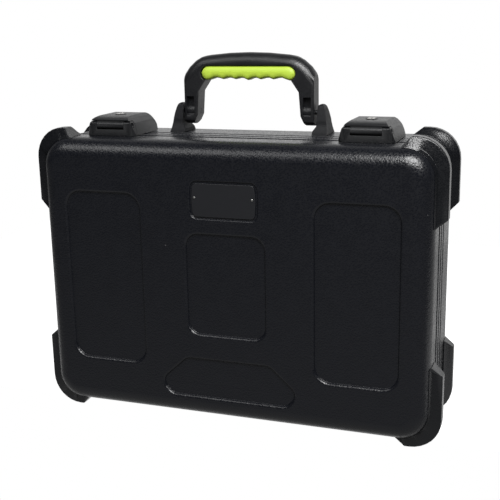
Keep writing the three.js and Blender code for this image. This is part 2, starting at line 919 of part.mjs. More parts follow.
const bailInnerFoot = bailHalfWidth - bailFootWidth;
const bailInnerHeel = bailInnerFoot - bailHeelStep;
const bailInnerTop = bailInnerHeel - bailLegTopStep;
const bailCrownEnd = bailHalfWidth - bailCrownEndInset;
const bailPocketOuter = bailHalfWidth - bailPocketWall;
const bailPocketInner = bailPocketOuter - bailPocketWidth;
const gripEndHalf = bailInnerTop - gripLegGap;
const gripEndCentre = gripEndHalf - gripEndRadius;
const gripEndHeight = gripTopHeight - gripEndRadius;
const gripStraight = gripEndCentre - gripEndRun;

function mirrored(points) {
  return points.map(([x, z, radius]) => [-x, z, radius]).reverse();
}

function bailShape() {
  const shape = new THREE.Shape();
  const foot = -bailLegFoot;
  const heel = foot + bailHeelRise;
  const knee = bailHalfWidth - bailKneeInset;
  const shoulder = bailHalfWidth - bailShoulderInset;
  const crownKnee = bailHalfWidth - bailCrownKneeInset;
  const legRight = [
    [bailInnerTop, bailLegTopHeight],
    [bailInnerHeel, heel],
    [bailInnerFoot, foot],
    [bailHalfWidth, foot],
    [bailHalfWidth, bailShoulderStart],
  ];
  shape.moveTo(...legRight[0]);
  legRight.slice(1).forEach((point) => shape.lineTo(...point));
  shape.quadraticCurveTo(bailHalfWidth, bailShoulderCorner, knee, bailKneeHeight);
  shape.lineTo(shoulder, bailShoulderHeight);
  shape.quadraticCurveTo(crownKnee, bailCrownKneeHeight, bailCrownEnd, bailCrownEndHeight);
  const crownControl = 2 * bailCrownHeight - bailCrownEndHeight;
  shape.quadraticCurveTo(0, crownControl, -bailCrownEnd, bailCrownEndHeight);
  shape.quadraticCurveTo(-crownKnee, bailCrownKneeHeight, -shoulder, bailShoulderHeight);
  shape.lineTo(-knee, bailKneeHeight);
  shape.quadraticCurveTo(-bailHalfWidth, bailShoulderCorner, -bailHalfWidth, bailShoulderStart);
  mirrored(legRight).slice(1).forEach(([x, z]) => shape.lineTo(x, z));
  gripNest(fitGap).forEach(([x, z]) => shape.lineTo(x, z));
  shape.closePath();
  return shape;
}

// The outline of the nest in the bail, round the grip's ends and over its top, from left to right.
function gripNest(clearance) {
  const radius = gripEndRadius + clearance;
  const side = Array.from({ length: 2 * gripEndSteps }, (_, i) => {
    const angle = ((i + 1) / gripEndSteps - 1) * quarterTurn;
    return [gripEndCentre + radius * Math.cos(angle), gripEndHeight + radius * Math.sin(angle)];
  });
  return [...side.map(([x, z]) => [-x, z]), ...side.reverse()];
}

// The underside swells between the fingers, most of all in the middle.
function gripUnderside(x) {
  const swell = fingerDepth * Math.cos((2 * Math.PI * x) / fingerPitch);
  const middle = fingerMiddleExtra * Math.max(0, 1 - Math.abs(x) / (fingerPitch / 2));
  return gripUndersideHeight - swell - middle;
}

// A rounded section of the grip at x, between two heights.
function gripSection(x, low, high, halfDepth) {
  const ring = roundedPoints(rectangle(-halfDepth, halfDepth, low, high), gripEdgeRadius);
  return ring.map((point) => new THREE.Vector3(x, point.x, point.y));
}

// Stations along the grip as x, underside, top and half thickness, its ends rounded off.
function grip() {
  const right = Array.from({ length: gripEndSteps }, (_, i) => {
    const angle = (gripTipShare - i / gripEndSteps) * quarterTurn;
    const rise = gripEndRadius * Math.cos(angle);
    const half = gripHalfThickness - gripEndRadius / 2 * (1 - Math.cos(angle));
    const x = gripEndCentre + gripEndRadius * Math.sin(angle);
    return [x, gripEndHeight - rise, gripEndHeight + rise, half];
  });
  const fingers = Array.from({ length: undersideSteps + 1 }, (_, i) => {
    const x = gripStraight * (1 - (2 * i) / undersideSteps);
    return [x, gripUnderside(x), gripTopHeight, gripHalfThickness];
  });
  const left = right.map(([x, low, high, half]) => [-x, low, high, half]).reverse();
  return loft([...right, ...fingers, ...left].map((station) => gripSection(...station)));
}

function bail() {
  const whole = extrudeY(bailShape(), -bailHalfThickness, bailHalfThickness, bailEdgeRadius, edgeSteps / 2);
  const half = bailHalfThickness;
  const side = new THREE.Shape();
  const drop = Math.sqrt(bailLegFoot ** 2 - half ** 2);
  const start = Math.atan2(-drop, half);
  side.moveTo(-half - cutOverrun, bailCrownHeight + cutOverrun);
  side.lineTo(-half - cutOverrun, -drop);
  side.lineTo(-half, -drop);
  side.absarc(0, 0, bailLegFoot, Math.PI - start, 2 * Math.PI + start, false);
  side.lineTo(half + cutOverrun, -drop);
  side.lineTo(half + cutOverrun, bailCrownHeight + cutOverrun);
  side.closePath();
  const reach = bailHalfWidth + cutOverrun;
  const trimmed = meet(whole, extrudeX(side, -reach, reach, arcSteps));
  const pockets = Object.values(sides).flatMap((sx) => Object.values(sides).map((sy) => block(
    sx * bailPocketInner,
    sx * bailPocketOuter,
    sy * (half - bailPocketDepth),
    sy * (half + cutOverrun),
    -bailPocketFloor,
    bailPocketTop,
  )));
  const bosses = Object.values(sides).map((sx) => barX(
    bailBossRadius,
    sx * bailPocketInner,
    sx * bailPocketOuter,
    0,
    0,
    2 * boreSides,
  ));
  const bores = Object.values(sides).map((sx) => barX(
    handlePinRadius + pinClearance,
    sx * (bailInnerTop - cutOverrun),
    sx * reach,
    0,
    0,
  ));
  return cut(join(cut(trimmed, ...pockets), ...bosses), ...bores);
}

const pinStart = bailInnerTop + bailEdgeRadius;
const pinEnd = bracketOffset + bracketEarHalf / 2;

function handlePin(sx) {
  return barX(handlePinRadius, sx * pinStart, sx * pinEnd, 0, 0);
}

// A bracket: an ear that flares out to a foot, seen from the front and from the side.
function bracket(sx) {
  const foot = fitGap - pivotRise;
  const top = bracketHeight - pivotRise;
  const waist = bracketWaistHeight - pivotRise;
  const front = new THREE.Shape();
  front.moveTo(-bracketFootInner, foot);
  front.lineTo(bracketFootOuter, foot);
  front.quadraticCurveTo((bracketFootOuter + bracketWaist) / 2, (foot + waist) / 2, bracketWaist, waist);
  front.quadraticCurveTo(bracketEarHalf, top, 0, top);
  front.quadraticCurveTo(-bracketEarHalf, top, -bracketEarHalf, top - bracketEarHalf);
  front.lineTo(-bracketEarHalf, foot + bracketSlopeTop);
  front.lineTo(-bracketFootInner, foot + bracketFootHeight);
  front.closePath();
  const side = new THREE.Shape();
  const half = bracketFootHalfLength;
  const flank = bracketFlankHalfLength;
  const flankHeight = foot + bracketFlankHeight;
  side.moveTo(-half, foot);
  side.lineTo(half, foot);
  side.quadraticCurveTo(flank, (foot + flankHeight) / 2, flank, flankHeight);
  side.lineTo(bracketTipHalfLength, top - bracketEarHalf);
  side.quadraticCurveTo(bracketTipHalfLength, top, 0, top);
  side.quadraticCurveTo(-bracketTipHalfLength, top, -bracketTipHalfLength, top - bracketEarHalf);
  side.lineTo(-flank, flankHeight);
  side.quadraticCurveTo(-flank, (foot + flankHeight) / 2, -half, foot);
  side.closePath();
  const fin = meet(
    extrudeY(front, -half - cutOverrun, half + cutOverrun),
    extrudeX(side, -bracketFootInner - cutOverrun, bracketFootOuter + cutOverrun),
  );
  const bore = barX(
    handlePinRadius + pinClearance,
    -bracketEarHalf - cutOverrun,
    bracketEarHalf / 2 + fitGap,
    0,
    0,
  );
  const studHoles = Object.values(sides).map((sy) => barZ(
    studRadius + fitGap,
    0,
    sy * handleStudSpread,
    foot - cutOverrun,
    foot + studReach,
    rivetSides,
  ));
  const shape = cut(fin, bore, ...studHoles);
  return sx < 0 ? mirroredX(shape) : shape;
}

// A steel plate under the top wall with studs that reach up into the fittings on it.
function studPlate(halfX, halfY, studs) {
  const seat = halfHeight - wallThickness - fitGap;
  const bars = studs.map(([x, y]) => barZ(
    studRadius,
    x,
    y,
    seat - studPlateThickness / 2,
    halfHeight + studReach - fitGap,
    rivetSides,
  ));
  return join(block(-halfX, halfX, -halfY, halfY, seat - studPlateThickness, seat), ...bars);
}

// One plate behind both handle brackets spreads the load of a carried case.
function handlePlate() {
  const studs = Object.values(sides).flatMap((side) => {
    return [[side * bracketOffset, -handleStudSpread], [side * bracketOffset, handleStudSpread]];
  });
  return studPlate(bracketOffset + studPlateHalf, handleStudSpread + studPlateHalf, studs);
}

// Latches, drawn about the latch's middle on the top wall at the seam plane

// Half the arched outline of the latch as seen from the front, drawn in by an inset.
function latchArch(inset, floor) {
  const right = [
    [latchHalfWidth - inset, floor],
    [latchShoulderHalf - inset, latchShoulderHeight - inset],
    [latchHaunchHalf - inset, latchHaunchHeight - inset],
    [latchTopHalf - inset, latchHeight - inset],
  ];
  const shape = new THREE.Shape();
  [...right, ...right.map(([x, z]) => [-x, z]).reverse()].forEach(([x, z], i) => {
    if (i === 0) shape.moveTo(x, z);
    else shape.lineTo(x, z);
  });
  shape.closePath();
  return shape;
}

// The latch's outline seen from above, its front corners well rounded.
function latchPlan(front) {
  const half = latchHalfWidth;
  const outline = [
    [-half, front, latchFrontCorner],
    [half, front, latchFrontCorner],
    [half, latchBack, latchBackCorner],
    [-half, latchBack, latchBackCorner],
  ];
  const options = { depth: latchHeight + 2 * cutOverrun, bevelEnabled: false };
  return new THREE.ExtrudeGeometry(rounded(outline), options).translate(0, 0, -cutOverrun);
}

const pinY = -latchPinDepth;
const leverFront = -latchFront + leverSlabSetback;

// The lever's dome as seen from the side, drawn in by the wall and the roof for its hollow.
function leverSide(wall, roof, start, floor) {
  const back = latchBack - wall;
  const tail = leverTailHeight - roof;
  const top = latchHeight - roof;
  const side = new THREE.Shape();
  side.moveTo(start, floor);
  side.lineTo(back, floor);
  side.quadraticCurveTo(back - leverTailSetback / 3, tail, back - leverTailSetback, tail);
  side.quadraticCurveTo(leverTopEnd + 2 * leverTailSetback - wall, top, leverTopEnd, top);
  return side;
}

function leverOuter() {
  const side = leverSide(0, 0, -leverSkirtStart, leverSkirtGap);
  side.lineTo(leverFront + leverFrontSlope, latchHeight);
  side.quadraticCurveTo(leverFront + leverBrow, latchHeight, leverFront, leverSlabUnderside + leverNose);
  side.lineTo(leverFront, leverSlabUnderside);
  side.lineTo(-leverSkirtStart, leverSlabUnderside);
  side.closePath();
  return side;
}

function leverInner() {
  const side = leverSide(leverWall, leverRoof, 0, -cutOverrun);
  side.lineTo(0, latchHeight - leverRoof);
  side.closePath();
  return side;
}

function lever() {
  const reach = latchHalfWidth + cutOverrun;
  const front = leverFront - cutOverrun;
  const arch = meet(
    extrudeY(latchArch(0, 0), front, latchBack + cutOverrun),
    extrudeX(leverOuter(), -reach, reach),
  );
  const dome = meet(arch, latchPlan(leverFront));
  const hollow = meet(
    extrudeY(latchArch(leverWall, -cutOverrun), 0, latchBack),
    extrudeX(leverInner(), -reach, reach),
  );
  const fingerNotch = block(
    -fingerNotchHalf,
    fingerNotchHalf,
    latchBack - leverTailSetback - 2 * leverWall,
    latchBack + cutOverrun,
    -cutOverrun,
    fingerNotchHeight,
  );
  const lockBore = barZ(lockRadius + fitGap, 0, lockDepth, leverSlabUnderside, latchHeight + cutOverrun);
  const knuckleHalf = latchCheekInner - fitGap;
  const knuckle = barX(knuckleRadius, -knuckleHalf, knuckleHalf, pinY, latchPinHeight, 2 * boreSides);
  const web = block(
    -knuckleHalf,
    knuckleHalf,
    pinY - webHalfDepth,
    pinY + webHalfDepth,
    latchPinHeight,
    leverSlabUnderside + fitGap,
  );
  const bore = barX(latchPinRadius + pinClearance, -reach, reach, pinY, latchPinHeight);
  return cut(join(cut(dome, hollow, fingerNotch, lockBore), knuckle, web), bore);
}

// The bracket on the lid: two cheeks, a sill between them and a thin floor under the knuckle.
function latchBracket() {
  const reach = latchHalfWidth + cutOverrun;
  const front = -latchFront;
  const back = -latchCheekBack;
  const crest = latchPinHeight + latchCheekRound;
  const side = new THREE.Shape();
  side.moveTo(front, fitGap);
  side.lineTo(back, fitGap);
  side.lineTo(back, crest - latchCheekChamfer);
  side.lineTo(back - latchCheekChamfer, crest);
  side.lineTo(pinY, crest);
  side.absarc(pinY, latchPinHeight, latchCheekRound, quarterTurn, 2 * quarterTurn, false);
  side.lineTo(front, latchPinHeight - latchCheekRound);
  side.closePath();
  const blank = meet(
    extrudeY(latchArch(0, 0), front - cutOverrun, back + cutOverrun),
    extrudeX(side, -reach, reach),
  );
  const cheeks = meet(blank, latchPlan(front));
  const pinRecesses = Object.values(sides).map((sx) => barX(
    latchPinRecessRadius,
    sx * (latchShoulderHalf - latchPinRecessDepth),
    sx * reach,
    pinY,
    latchPinHeight,
  ));
  const window = block(
    -latchCheekInner,
    latchCheekInner,
    front - cutOverrun,
    back + cutOverrun,
    latchSillHeight,
    latchHeight + cutOverrun,
  );
  const well = block(
    -latchCheekInner,
    latchCheekInner,
    front + latchSillDepth,
    back + cutOverrun,
    latchPlateThickness,
    latchSillHeight + cutOverrun,
  );
  const bore = barX(latchPinRadius + pinClearance, -reach, reach, pinY, latchPinHeight);
  const studHoles = Object.values(sides).map((sx) => barZ(
    studRadius + fitGap,
    sx * latchCheekMiddle,
    latchStudDepth,
    -cutOverrun,
    studReach + fitGap,
    rivetSides,
  ));
  return cut(cheeks, window, well, bore, ...pinRecesses, ...studHoles);
}

function latchPin() {
  const half = latchShoulderHalf - latchPinRecessDepth / 2;
  return barX(latchPinRadius, -half, half, pinY, latchPinHeight);
}

const roofUnderside = latchHeight - leverRoof - fitGap;

// The steel hook under the lever's roof hangs behind the strike's ridge.
function latchHook() {
  const side = new THREE.Shape();
  const back = hookDepth + hookThickness;
  const tip = strikeRidgeHeight + hookLift;
  side.moveTo(hookDepth, tip);
  side.lineTo(back, tip);
  side.lineTo(back, roofUnderside);
  side.lineTo(hookDepth - hookPlateLength, roofUnderside);
  side.lineTo(hookDepth - hookPlateLength, roofUnderside - hookThickness);
  side.lineTo(hookDepth, roofUnderside - hookThickness);
  side.closePath();
  return extrudeX(side, -hookHalfWidth, hookHalfWidth);
}

// The strike on the base's top wall: a flat plate with an upturned ridge.
function latchStrike() {
  const ridgeBack = hookDepth - strikeRidgeGap;
  const top = fitGap + strikeThickness;
  const side = new THREE.Shape();
  side.moveTo(strikeStart, fitGap);
  side.lineTo(ridgeBack, fitGap);
  side.lineTo(ridgeBack, strikeRidgeHeight);
  side.lineTo(ridgeBack - strikeThickness, strikeRidgeHeight);
  side.lineTo(ridgeBack - strikeThickness, top);
  side.lineTo(strikeStart, top);
  side.closePath();
  const holes = Object.values(sides).map((sx) => barZ(
    studRadius + fitGap,
    sx * strikeStudSpread,
    strikeStudDepth,
    -cutOverrun,
    top + cutOverrun,
    rivetSides,
  ));
  return cut(extrudeX(side, -strikeHalfWidth, strikeHalfWidth), ...holes);
}

// A leaf spring on the strike that lifts the freed lever.
function latchSpring() {
  const low = 2 * fitGap + strikeThickness;
  const high = low + springRise;
  const end = springStart + springLength;
  const flatEnd = end - springLength / 3;
  const bend = springStart + springLength / 3;
  const side = new THREE.Shape();
  side.moveTo(end, low);
  side.lineTo(end, low + springThickness);
  side.lineTo(flatEnd, low + springThickness);
  side.quadraticCurveTo(bend, low + springThickness, springStart, high + springThickness);
  side.lineTo(springStart, high);
  side.quadraticCurveTo(bend, low, flatEnd, low);
  side.closePath();
  return extrudeX(side, -springHalfWidth, springHalfWidth, edgeSteps / 2);
}

// The key lock's barrel with its rim and keyway.
function lockCylinder() {
  const top = latchHeight + fitGap + lockRimHeight;
  const profile = [
    [0, top - lockBodyHeight],
    [lockRadius, top - lockBodyHeight],
    [lockRadius, latchHeight + fitGap],
    [lockRimRadius, latchHeight + fitGap],
    [lockRimRadius - lockRimHeight / 2, top],
    [0, top],
  ].map(([r, h]) => new THREE.Vector2(r, h));
  const turned = new THREE.LatheGeometry(profile, 2 * boreSides).rotateX(quarterTurn);
  const barrel = turned.translate(0, lockDepth, 0);
  const keyway = block(
    -keywayWidth / 2,
    keywayWidth / 2,
    lockDepth - keywayLength / 2,
    lockDepth + keywayLength / 2,
    top - keywayDepth,
    top + cutOverrun,
  );
  return cut(barrel, keyway);
}

// The lock's cam lies under the barrel and points back towards the hook.
function lockCam() {
  const top = latchHeight + lockRimHeight - lockBodyHeight;
  const shape = new THREE.Shape();
  shape.moveTo(-camHalfWidth, lockDepth);
  shape.absarc(0, lockDepth, camHalfWidth, Math.PI, 2 * Math.PI, false);
  shape.lineTo(camHalfWidth, lockDepth + camLength);
  shape.lineTo(-camHalfWidth, lockDepth + camLength);
  shape.closePath();
  const options = { depth: camThickness, curveSegments: edgeSteps, bevelEnabled: false };
  return new THREE.ExtrudeGeometry(shape, options).translate(0, 0, top - camThickness);
}

function latchBracketPlate() {
  const studs = [[-latchCheekMiddle, 0], [latchCheekMiddle, 0]];
  return studPlate(latchCheekMiddle + studPlateHalf, studPlateHalf, studs);
}

function strikePlate() {
  const studs = [[-strikeStudSpread, 0], [strikeStudSpread, 0]];
  return studPlate(strikeStudSpread + studPlateHalf, studPlateHalf, studs);
}

// Hinges, drawn about the hinge axis

// A leaf on one side of the axis, with its knuckles as [from, to] along X.
function hingeLeaf(side, knuckles) {
  const top = hingeAxisDrop - fitGap;
  const near = hingeKnuckleRadius + hingeKnuckleGap;
  const plate = block(
    -hingeHalfWidth,
    hingeHalfWidth,
    side * near,
    side * hingeLeafFar,
    top - hingeLeafThickness,
    top,
  );
  const rolls = knuckles.map(([x0, x1]) => barX(hingeKnuckleRadius, x0, x1, 0, 0));
  const webs = knuckles.map(([x0, x1]) => block(
    x0,
    x1,
    0,
    side * (near + hingeLeafThickness),
    top - hingeLeafThickness,
    top - fitGap,
  ));
  const reach = hingeHalfWidth + cutOverrun;
  const bore = barX(hingePinRadius + pinClearance, -reach, reach, 0, 0);
  const holes = Object.values(sides).map((sx) => barZ(
    rivetRadius + fitGap,
    sx * hingeRivetSpread,
    side * hingeRivetRow,
    -cutOverrun,
    top + cutOverrun,
    rivetSides,
  ));
  return cut(join(plate, ...rolls, ...webs), bore, ...holes);
}

function hingePin() {
  return barX(hingePinRadius, -hingeHalfWidth, hingeHalfWidth, 0, 0);
}

// One strip inside the bottom wall backs the rivets of all three leaves.
function hingeStrip(side) {
  const row = side * hingeRivetRow;
  const low = wallThickness + fitGap - halfHeight;
  const high = low + studPlateThickness;
  const seat = -halfHeight - hingeLeafThickness - 2 * fitGap;
  const reach = (low + high) / 2 - seat;
  const end = Math.max(...hingeRivetPlaces) + studPlateHalf;
  return join(
    block(-end, end, row - studPlateHalf, row + studPlateHalf, low, high),
    ...hingeRivetPlaces.map((x) => {
      return rivetGeometry(rivetHeadRadius, rivetHeadHeight, rivetRadius, reach).translate(x, row, seat);
    }),
  );
}

// Assembly

function placed(mesh, x, y) {
  mesh.position.set(x, y, 0);
  return mesh;
}

function badgeRivets() {
  return Object.entries(sides).map(([side, sx]) => {
    return placed(piece(`badge_rivet_${side}`, badgeRivet(), steel), sx * badgeRivetHalf, 0);
  });
}

function latchGroup(side, sx) {
  const group = new THREE.Group();
  group.position.set(sx * latchOffset, 0, halfHeight);
  group.add(
    piece(`latch_bracket_${side}`, latchBracket(), latchBlack),
    piece(`latch_lever_${side}`, lever(), latchBlack),
    piece(`latch_pin_${side}`, latchPin(), steel),
    piece(`latch_hook_${side}`, latchHook(), blackSteel),
    piece(`latch_strike_${side}`, latchStrike(), blackSteel),
    piece(`latch_spring_${side}`, latchSpring(), steel),
    piece(`lock_cylinder_${side}`, lockCylinder(), steel),
    piece(`lock_cam_${side}`, lockCam(), steel),
  );
  return group;
}

function handleGroup() {
  const group = new THREE.Group();
  group.position.set(0, pivotDepth, halfHeight + pivotRise);
  group.add(piece('handle_bail', bail(), handleBlack), piece('handle_grip', grip(), gripLime));
  Object.entries(sides).forEach(([side, sx]) => {
    const fin = piece(`handle_bracket_${side}`, bracket(sx), handleBlack);
    fin.position.x = sx * bracketOffset;
    group.add(fin, piece(`handle_pin_${side}`, handlePin(sx), blackSteel));
  });
  return group;
}

function hingeGroup(name, x) {
  const group = new THREE.Group();
  group.position.set(x, 0, -halfHeight - hingeAxisDrop);
  const inner = hingeKnuckleHalf + hingeKnuckleGap;
  group.add(
    piece(`hinge_lid_leaf_${name}`, hingeLeaf(-1, [[-hingeKnuckleHalf, hingeKnuckleHalf]]), blackSteel),
    piece(
      `hinge_base_leaf_${name}`,
      hingeLeaf(1, [[-hingeHalfWidth, -inner], [inner, hingeHalfWidth]]),
      blackSteel,
    ),
    piece(`hinge_pin_${name}`, hingePin(), steel),
  );
  return group;
}

const microphoneCase = new THREE.Group();
microphoneCase.position.set(0, (lidDepth - baseDepth) / 2, halfHeight + bumperFootRise);
microphoneCase.add(
  piece('lid_shell', lidShell(), shellBlack),
  ...lidBumpers(),
  piece('lid_foam', lidFoam(), foamGrey),
  piece('badge_plate', badgePlate(), badgeBlack),
  ...badgeRivets(),
  piece('base_shell', baseShell(), shellBlack),
  ...baseBumpers(),
  piece('seam_gasket', gasket(), gasketBlack),
  piece('base_foam_pad', foamPad(), foamGrey),
  piece('base_foam_tray', foamTray(), foamGrey),
  handleGroup(),
  placed(piece('handle_backing_plate', handlePlate(), steel), 0, pivotDepth),
  ...Object.entries(sides).map(([side, sx]) => latchGroup(side, sx)),
  ...Object.entries(sides).flatMap(([side, sx]) => {
    const front = piece(`latch_backing_plate_${side}`, latchBracketPlate(), steel);
    const back = piece(`strike_backing_plate_${side}`, strikePlate(), steel);
    const x = sx * latchOffset;
    return [placed(front, x, latchStudDepth), placed(back, x, strikeStudDepth)];
  }),
  ...Object.entries(hinges).map(([name, x]) => hingeGroup(name, x)),
  piece('hinge_strip_lid', hingeStrip(-1), steel),
  piece('hinge_strip_base', hingeStrip(1), steel),
);

const group = new THREE.Group();
group.add(microphoneCase);

export default group;
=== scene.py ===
import math

import bmesh
import bpy
from mathutils import Matrix, Vector


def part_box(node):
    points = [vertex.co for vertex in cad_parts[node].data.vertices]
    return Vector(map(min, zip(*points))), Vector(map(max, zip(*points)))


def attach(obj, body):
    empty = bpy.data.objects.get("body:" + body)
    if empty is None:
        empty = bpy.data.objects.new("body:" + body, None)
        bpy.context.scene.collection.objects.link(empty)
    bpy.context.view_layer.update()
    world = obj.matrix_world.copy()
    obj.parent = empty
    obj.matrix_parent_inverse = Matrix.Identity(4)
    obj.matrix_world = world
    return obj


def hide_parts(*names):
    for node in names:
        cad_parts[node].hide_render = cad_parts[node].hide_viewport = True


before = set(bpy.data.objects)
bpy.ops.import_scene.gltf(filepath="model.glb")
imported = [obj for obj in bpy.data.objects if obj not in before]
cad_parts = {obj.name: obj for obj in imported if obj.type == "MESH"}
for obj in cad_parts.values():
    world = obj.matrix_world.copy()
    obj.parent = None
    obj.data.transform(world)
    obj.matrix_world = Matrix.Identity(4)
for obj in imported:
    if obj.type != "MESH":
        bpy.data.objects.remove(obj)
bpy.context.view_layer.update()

# Lid shell
# The front half of the case is one injection moulding in black ABS with a pebbled grain. Its rim
# carries the tongue that seals in the base's groove, and shallow recesses stiffen its face.

mm = 0.001
shell_width = 444.6 * mm
shell_height = 314.5 * mm
shell_corner = 32 * mm
shell_edge = 20 * mm
shell_wall = 3.6 * mm
shell_face = 6 * mm
shell_inner_edge = 14 * mm
corner_steps = 14
edge_steps = 10
unit_half = 0.5
round_profile = 0.5
lid_depth = 44 * mm
base_depth = 90 * mm
seam_gap = 0.25 * mm
seam_lip = 3.4 * mm
seam_notch = 3 * mm
lip_chamfer = 0.8 * mm
rim_thickness = 5.6 * mm
rim_depth = 4 * mm
rim_blend = 2 * mm
tongue_width = 2 * mm
tongue_depth = 2.25 * mm
tongue_inset = seam_notch + (rim_thickness - tongue_width) / 2
recess_depth = 3 * mm
recess_shoulder = 3.4 * mm
recess_turn = math.radians(65)
recess_root = 0.5 * mm
recess_steps = 6
cut_overrun = 0.5 * mm
side_recess_inner = 100.1 * mm
side_recess_outer = 190 * mm
side_recess_half = 98 * mm
side_recess_corner = 17 * mm
middle_recess_half_width = 44.9 * mm
middle_recess_half_height = 56.9 * mm
middle_recess_corner = 14 * mm
foot_recess_corner = 8 * mm
foot_recess_half = [(68, -131.5), (77, -121.5), (77, -113), (48.7, -87)]
badge_recess_half = [(37.5, 74.8), (39.1, 95.3), (37.5, 115.8)]
badge_recess_corner = 7 * mm
badge_recess_depth = 1.6 * mm
badge_recess_shoulder = 1.4 * mm
smooth_angle = math.radians(32)
pebble_smoothness = 0.5
pebble_weight = 3
crumbs_per_pebble = 1.6
crumb_detail = 1.5
sheen_per_metre = 60
sheen_detail = 4
sheen_weight = 0.4
polish_range = (0.25, 0.85)
glossy_share = 0.6
matt_share = 1.5
wear_range = (0.53, 0.62)
plain_cell_share = 0.8

base_low, base_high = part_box("base_shell")
shell_middle = Vector((0, base_high.y - base_depth, (base_low.z + base_high.z) / 2))
lay_front = Matrix.Rotation(math.radians(90), 3, "X")


def rounded_outline(bm, width, height, corner, steps):
    """One flat face that looks to the front, with rounded corners."""
    made = bmesh.ops.create_grid(bm, x_segments=1, y_segments=1, size=unit_half)
    bmesh.ops.scale(bm, vec=(width, height, 1), verts=made["verts"])
    bmesh.ops.rotate(bm, cent=(0, 0, 0), matrix=lay_front, verts=made["verts"])
    bmesh.ops.bevel(bm, geom=made["verts"], offset=corner, affect="VERTICES",
                    segments=steps, profile=round_profile, material=-1)
    return bm.faces[:][0]


def carry(bm, face, run):
    """Carries a flat face through pairs of inset and depth, and leaves a wall behind it."""
    towards = 1 if face.normal.y > 0 else -1
    for (inset, depth), (next_inset, next_depth) in zip(run, run[1:]):
        bmesh.ops.inset_individual(bm, faces=[face], thickness=next_inset - inset,
                                   depth=towards * (next_depth - depth), use_even_offset=True)


def close_end(bm):
    """Fills the open end of a walled shape and returns the new face, looking to the back."""
    rim = [edge for edge in bm.edges if edge.is_boundary]
    face = bmesh.ops.holes_fill(bm, edges=rim, sides=0)["faces"][0]
    face.normal_update()
    if face.normal.y < 0:
        face.normal_flip()
    return face


def even_turns(whole, steps):
    """The angles from nothing to a whole turn in even steps."""
    return [whole * step / steps for step in range(steps + 1)]


def round_edge(inset, face_depth, radius, towards, steps=edge_steps):
    """Inset and depth pairs of a rounded edge, from the side wall up to the flat face."""
    return [(inset + radius * (1 - math.cos(turn)),
             face_depth + towards * radius * (1 - math.sin(turn)))
            for turn in even_turns(math.radians(90), steps)]


def shell_body(outer, inner):
    """A closed shell: outer runs from the rim to the face, inner from the rim into the cavity."""
    looks_back = outer[-1][1] > 0
    bm = bmesh.new()
    face = rounded_outline(bm, shell_width, shell_height, shell_corner, corner_steps)
    bmesh.ops.translate(bm, vec=(0, outer[0][1], 0), verts=bm.verts)
    face.normal_update()
    if looks_back:
        face.normal_flip()
    carry(bm, face, outer)
    back = close_end(bm)
    if looks_back:
        back.normal_flip()
    carry(bm, back, inner)
    bmesh.ops.recalc_face_normals(bm, faces=bm.faces)
    return bm


def add_mesh(name, bm):
    mesh = bpy.data.meshes.new(name)
    bm.to_mesh(mesh)
    bm.free()
    piece = bpy.data.objects.new(name, mesh)
    bpy.context.scene.collection.objects.link(piece)
    return piece


def rolled_wall(depth, shoulder):
    """Outward step and height of a recess wall: a tight root, a steep wall, a rolled shoulder."""
    turns = even_turns(recess_turn, recess_steps)
    root = [(recess_root * math.sin(turn), recess_root * (1 - math.cos(turn))) for turn in turns]
    foot, base = root[-1]
    rise = depth - base - shoulder * (1 - math.cos(recess_turn))
    foot += rise / math.tan(recess_turn)
    roll = [(foot + shoulder * (math.sin(recess_turn) - math.sin(turn)),
             base + rise + shoulder * (math.cos(turn) - math.cos(recess_turn)))
            for turn in reversed(turns[1:])]
    step, height = roll[-1]
    top = depth + cut_overrun
    return root + roll + [(step + (top - height) / math.tan(turns[1]), top)]


def plug(bm, corners, corner_radius, wall, floor_depth, inwards, root=recess_root):
    """Adds the plug that a recess is cut with, from its floor up its wall to past the face.

    The floor is drawn in by the root first, so that the wall starts inside the outline.
    """
    part = bmesh.new()
    part.faces.new([part.verts.new((x, 0, z)) for x, z in corners])
    bmesh.ops.bevel(part, geom=part.verts[:], offset=corner_radius, affect="VERTICES",
                    segments=recess_steps, profile=round_profile, clamp_overlap=True, material=-1)
    floor = part.faces[:][0]
    if root:
        ring = bmesh.ops.inset_individual(part, faces=[floor], thickness=root,
                                          use_even_offset=True)["faces"]
        bmesh.ops.delete(part, geom=ring, context="FACES")
    floor.normal_update()
    if floor.normal.y * inwards > 0:
        floor.normal_flip()
    run = [(-step, floor_depth - inwards * height) for step, height in wall]
    bmesh.ops.translate(part, vec=(0, run[0][1], 0), verts=part.verts)
    carry(part, floor, run)
    close_end(part)
    bmesh.ops.recalc_face_normals(part, faces=part.faces)
    mesh = bpy.data.meshes.new("plug")
    part.to_mesh(mesh)
    part.free()
    bm.from_mesh(mesh)
    bpy.data.meshes.remove(mesh)


def symmetric(half):
    """Both halves of an outline given as millimetre points up its right side."""
    right = [(x * mm, z * mm) for x, z in half]
    return right + [(-x, z) for x, z in reversed(right)]


def panel_plugs(bm, face_depth, inwards):
    """The two side recesses and the middle one, as the front and the back both have them."""
    wall = rolled_wall(recess_depth, recess_shoulder)
    floor_depth = face_depth + inwards * recess_depth
    for side in (-1, 1):
        middle = side * (side_recess_inner + side_recess_outer) / 2
        half = (side_recess_outer - side_recess_inner) / 2
        corners = [(middle - half, -side_recess_half), (middle + half, -side_recess_half),
                   (middle + half, side_recess_half), (middle - half, side_recess_half)]
        plug(bm, corners, side_recess_corner, wall, floor_depth, inwards)
    half, height = middle_recess_half_width, middle_recess_half_height
    corners = [(-half, -height), (half, -height), (half, height), (-half, height)]
    plug(bm, corners, middle_recess_corner, wall, floor_depth, inwards)


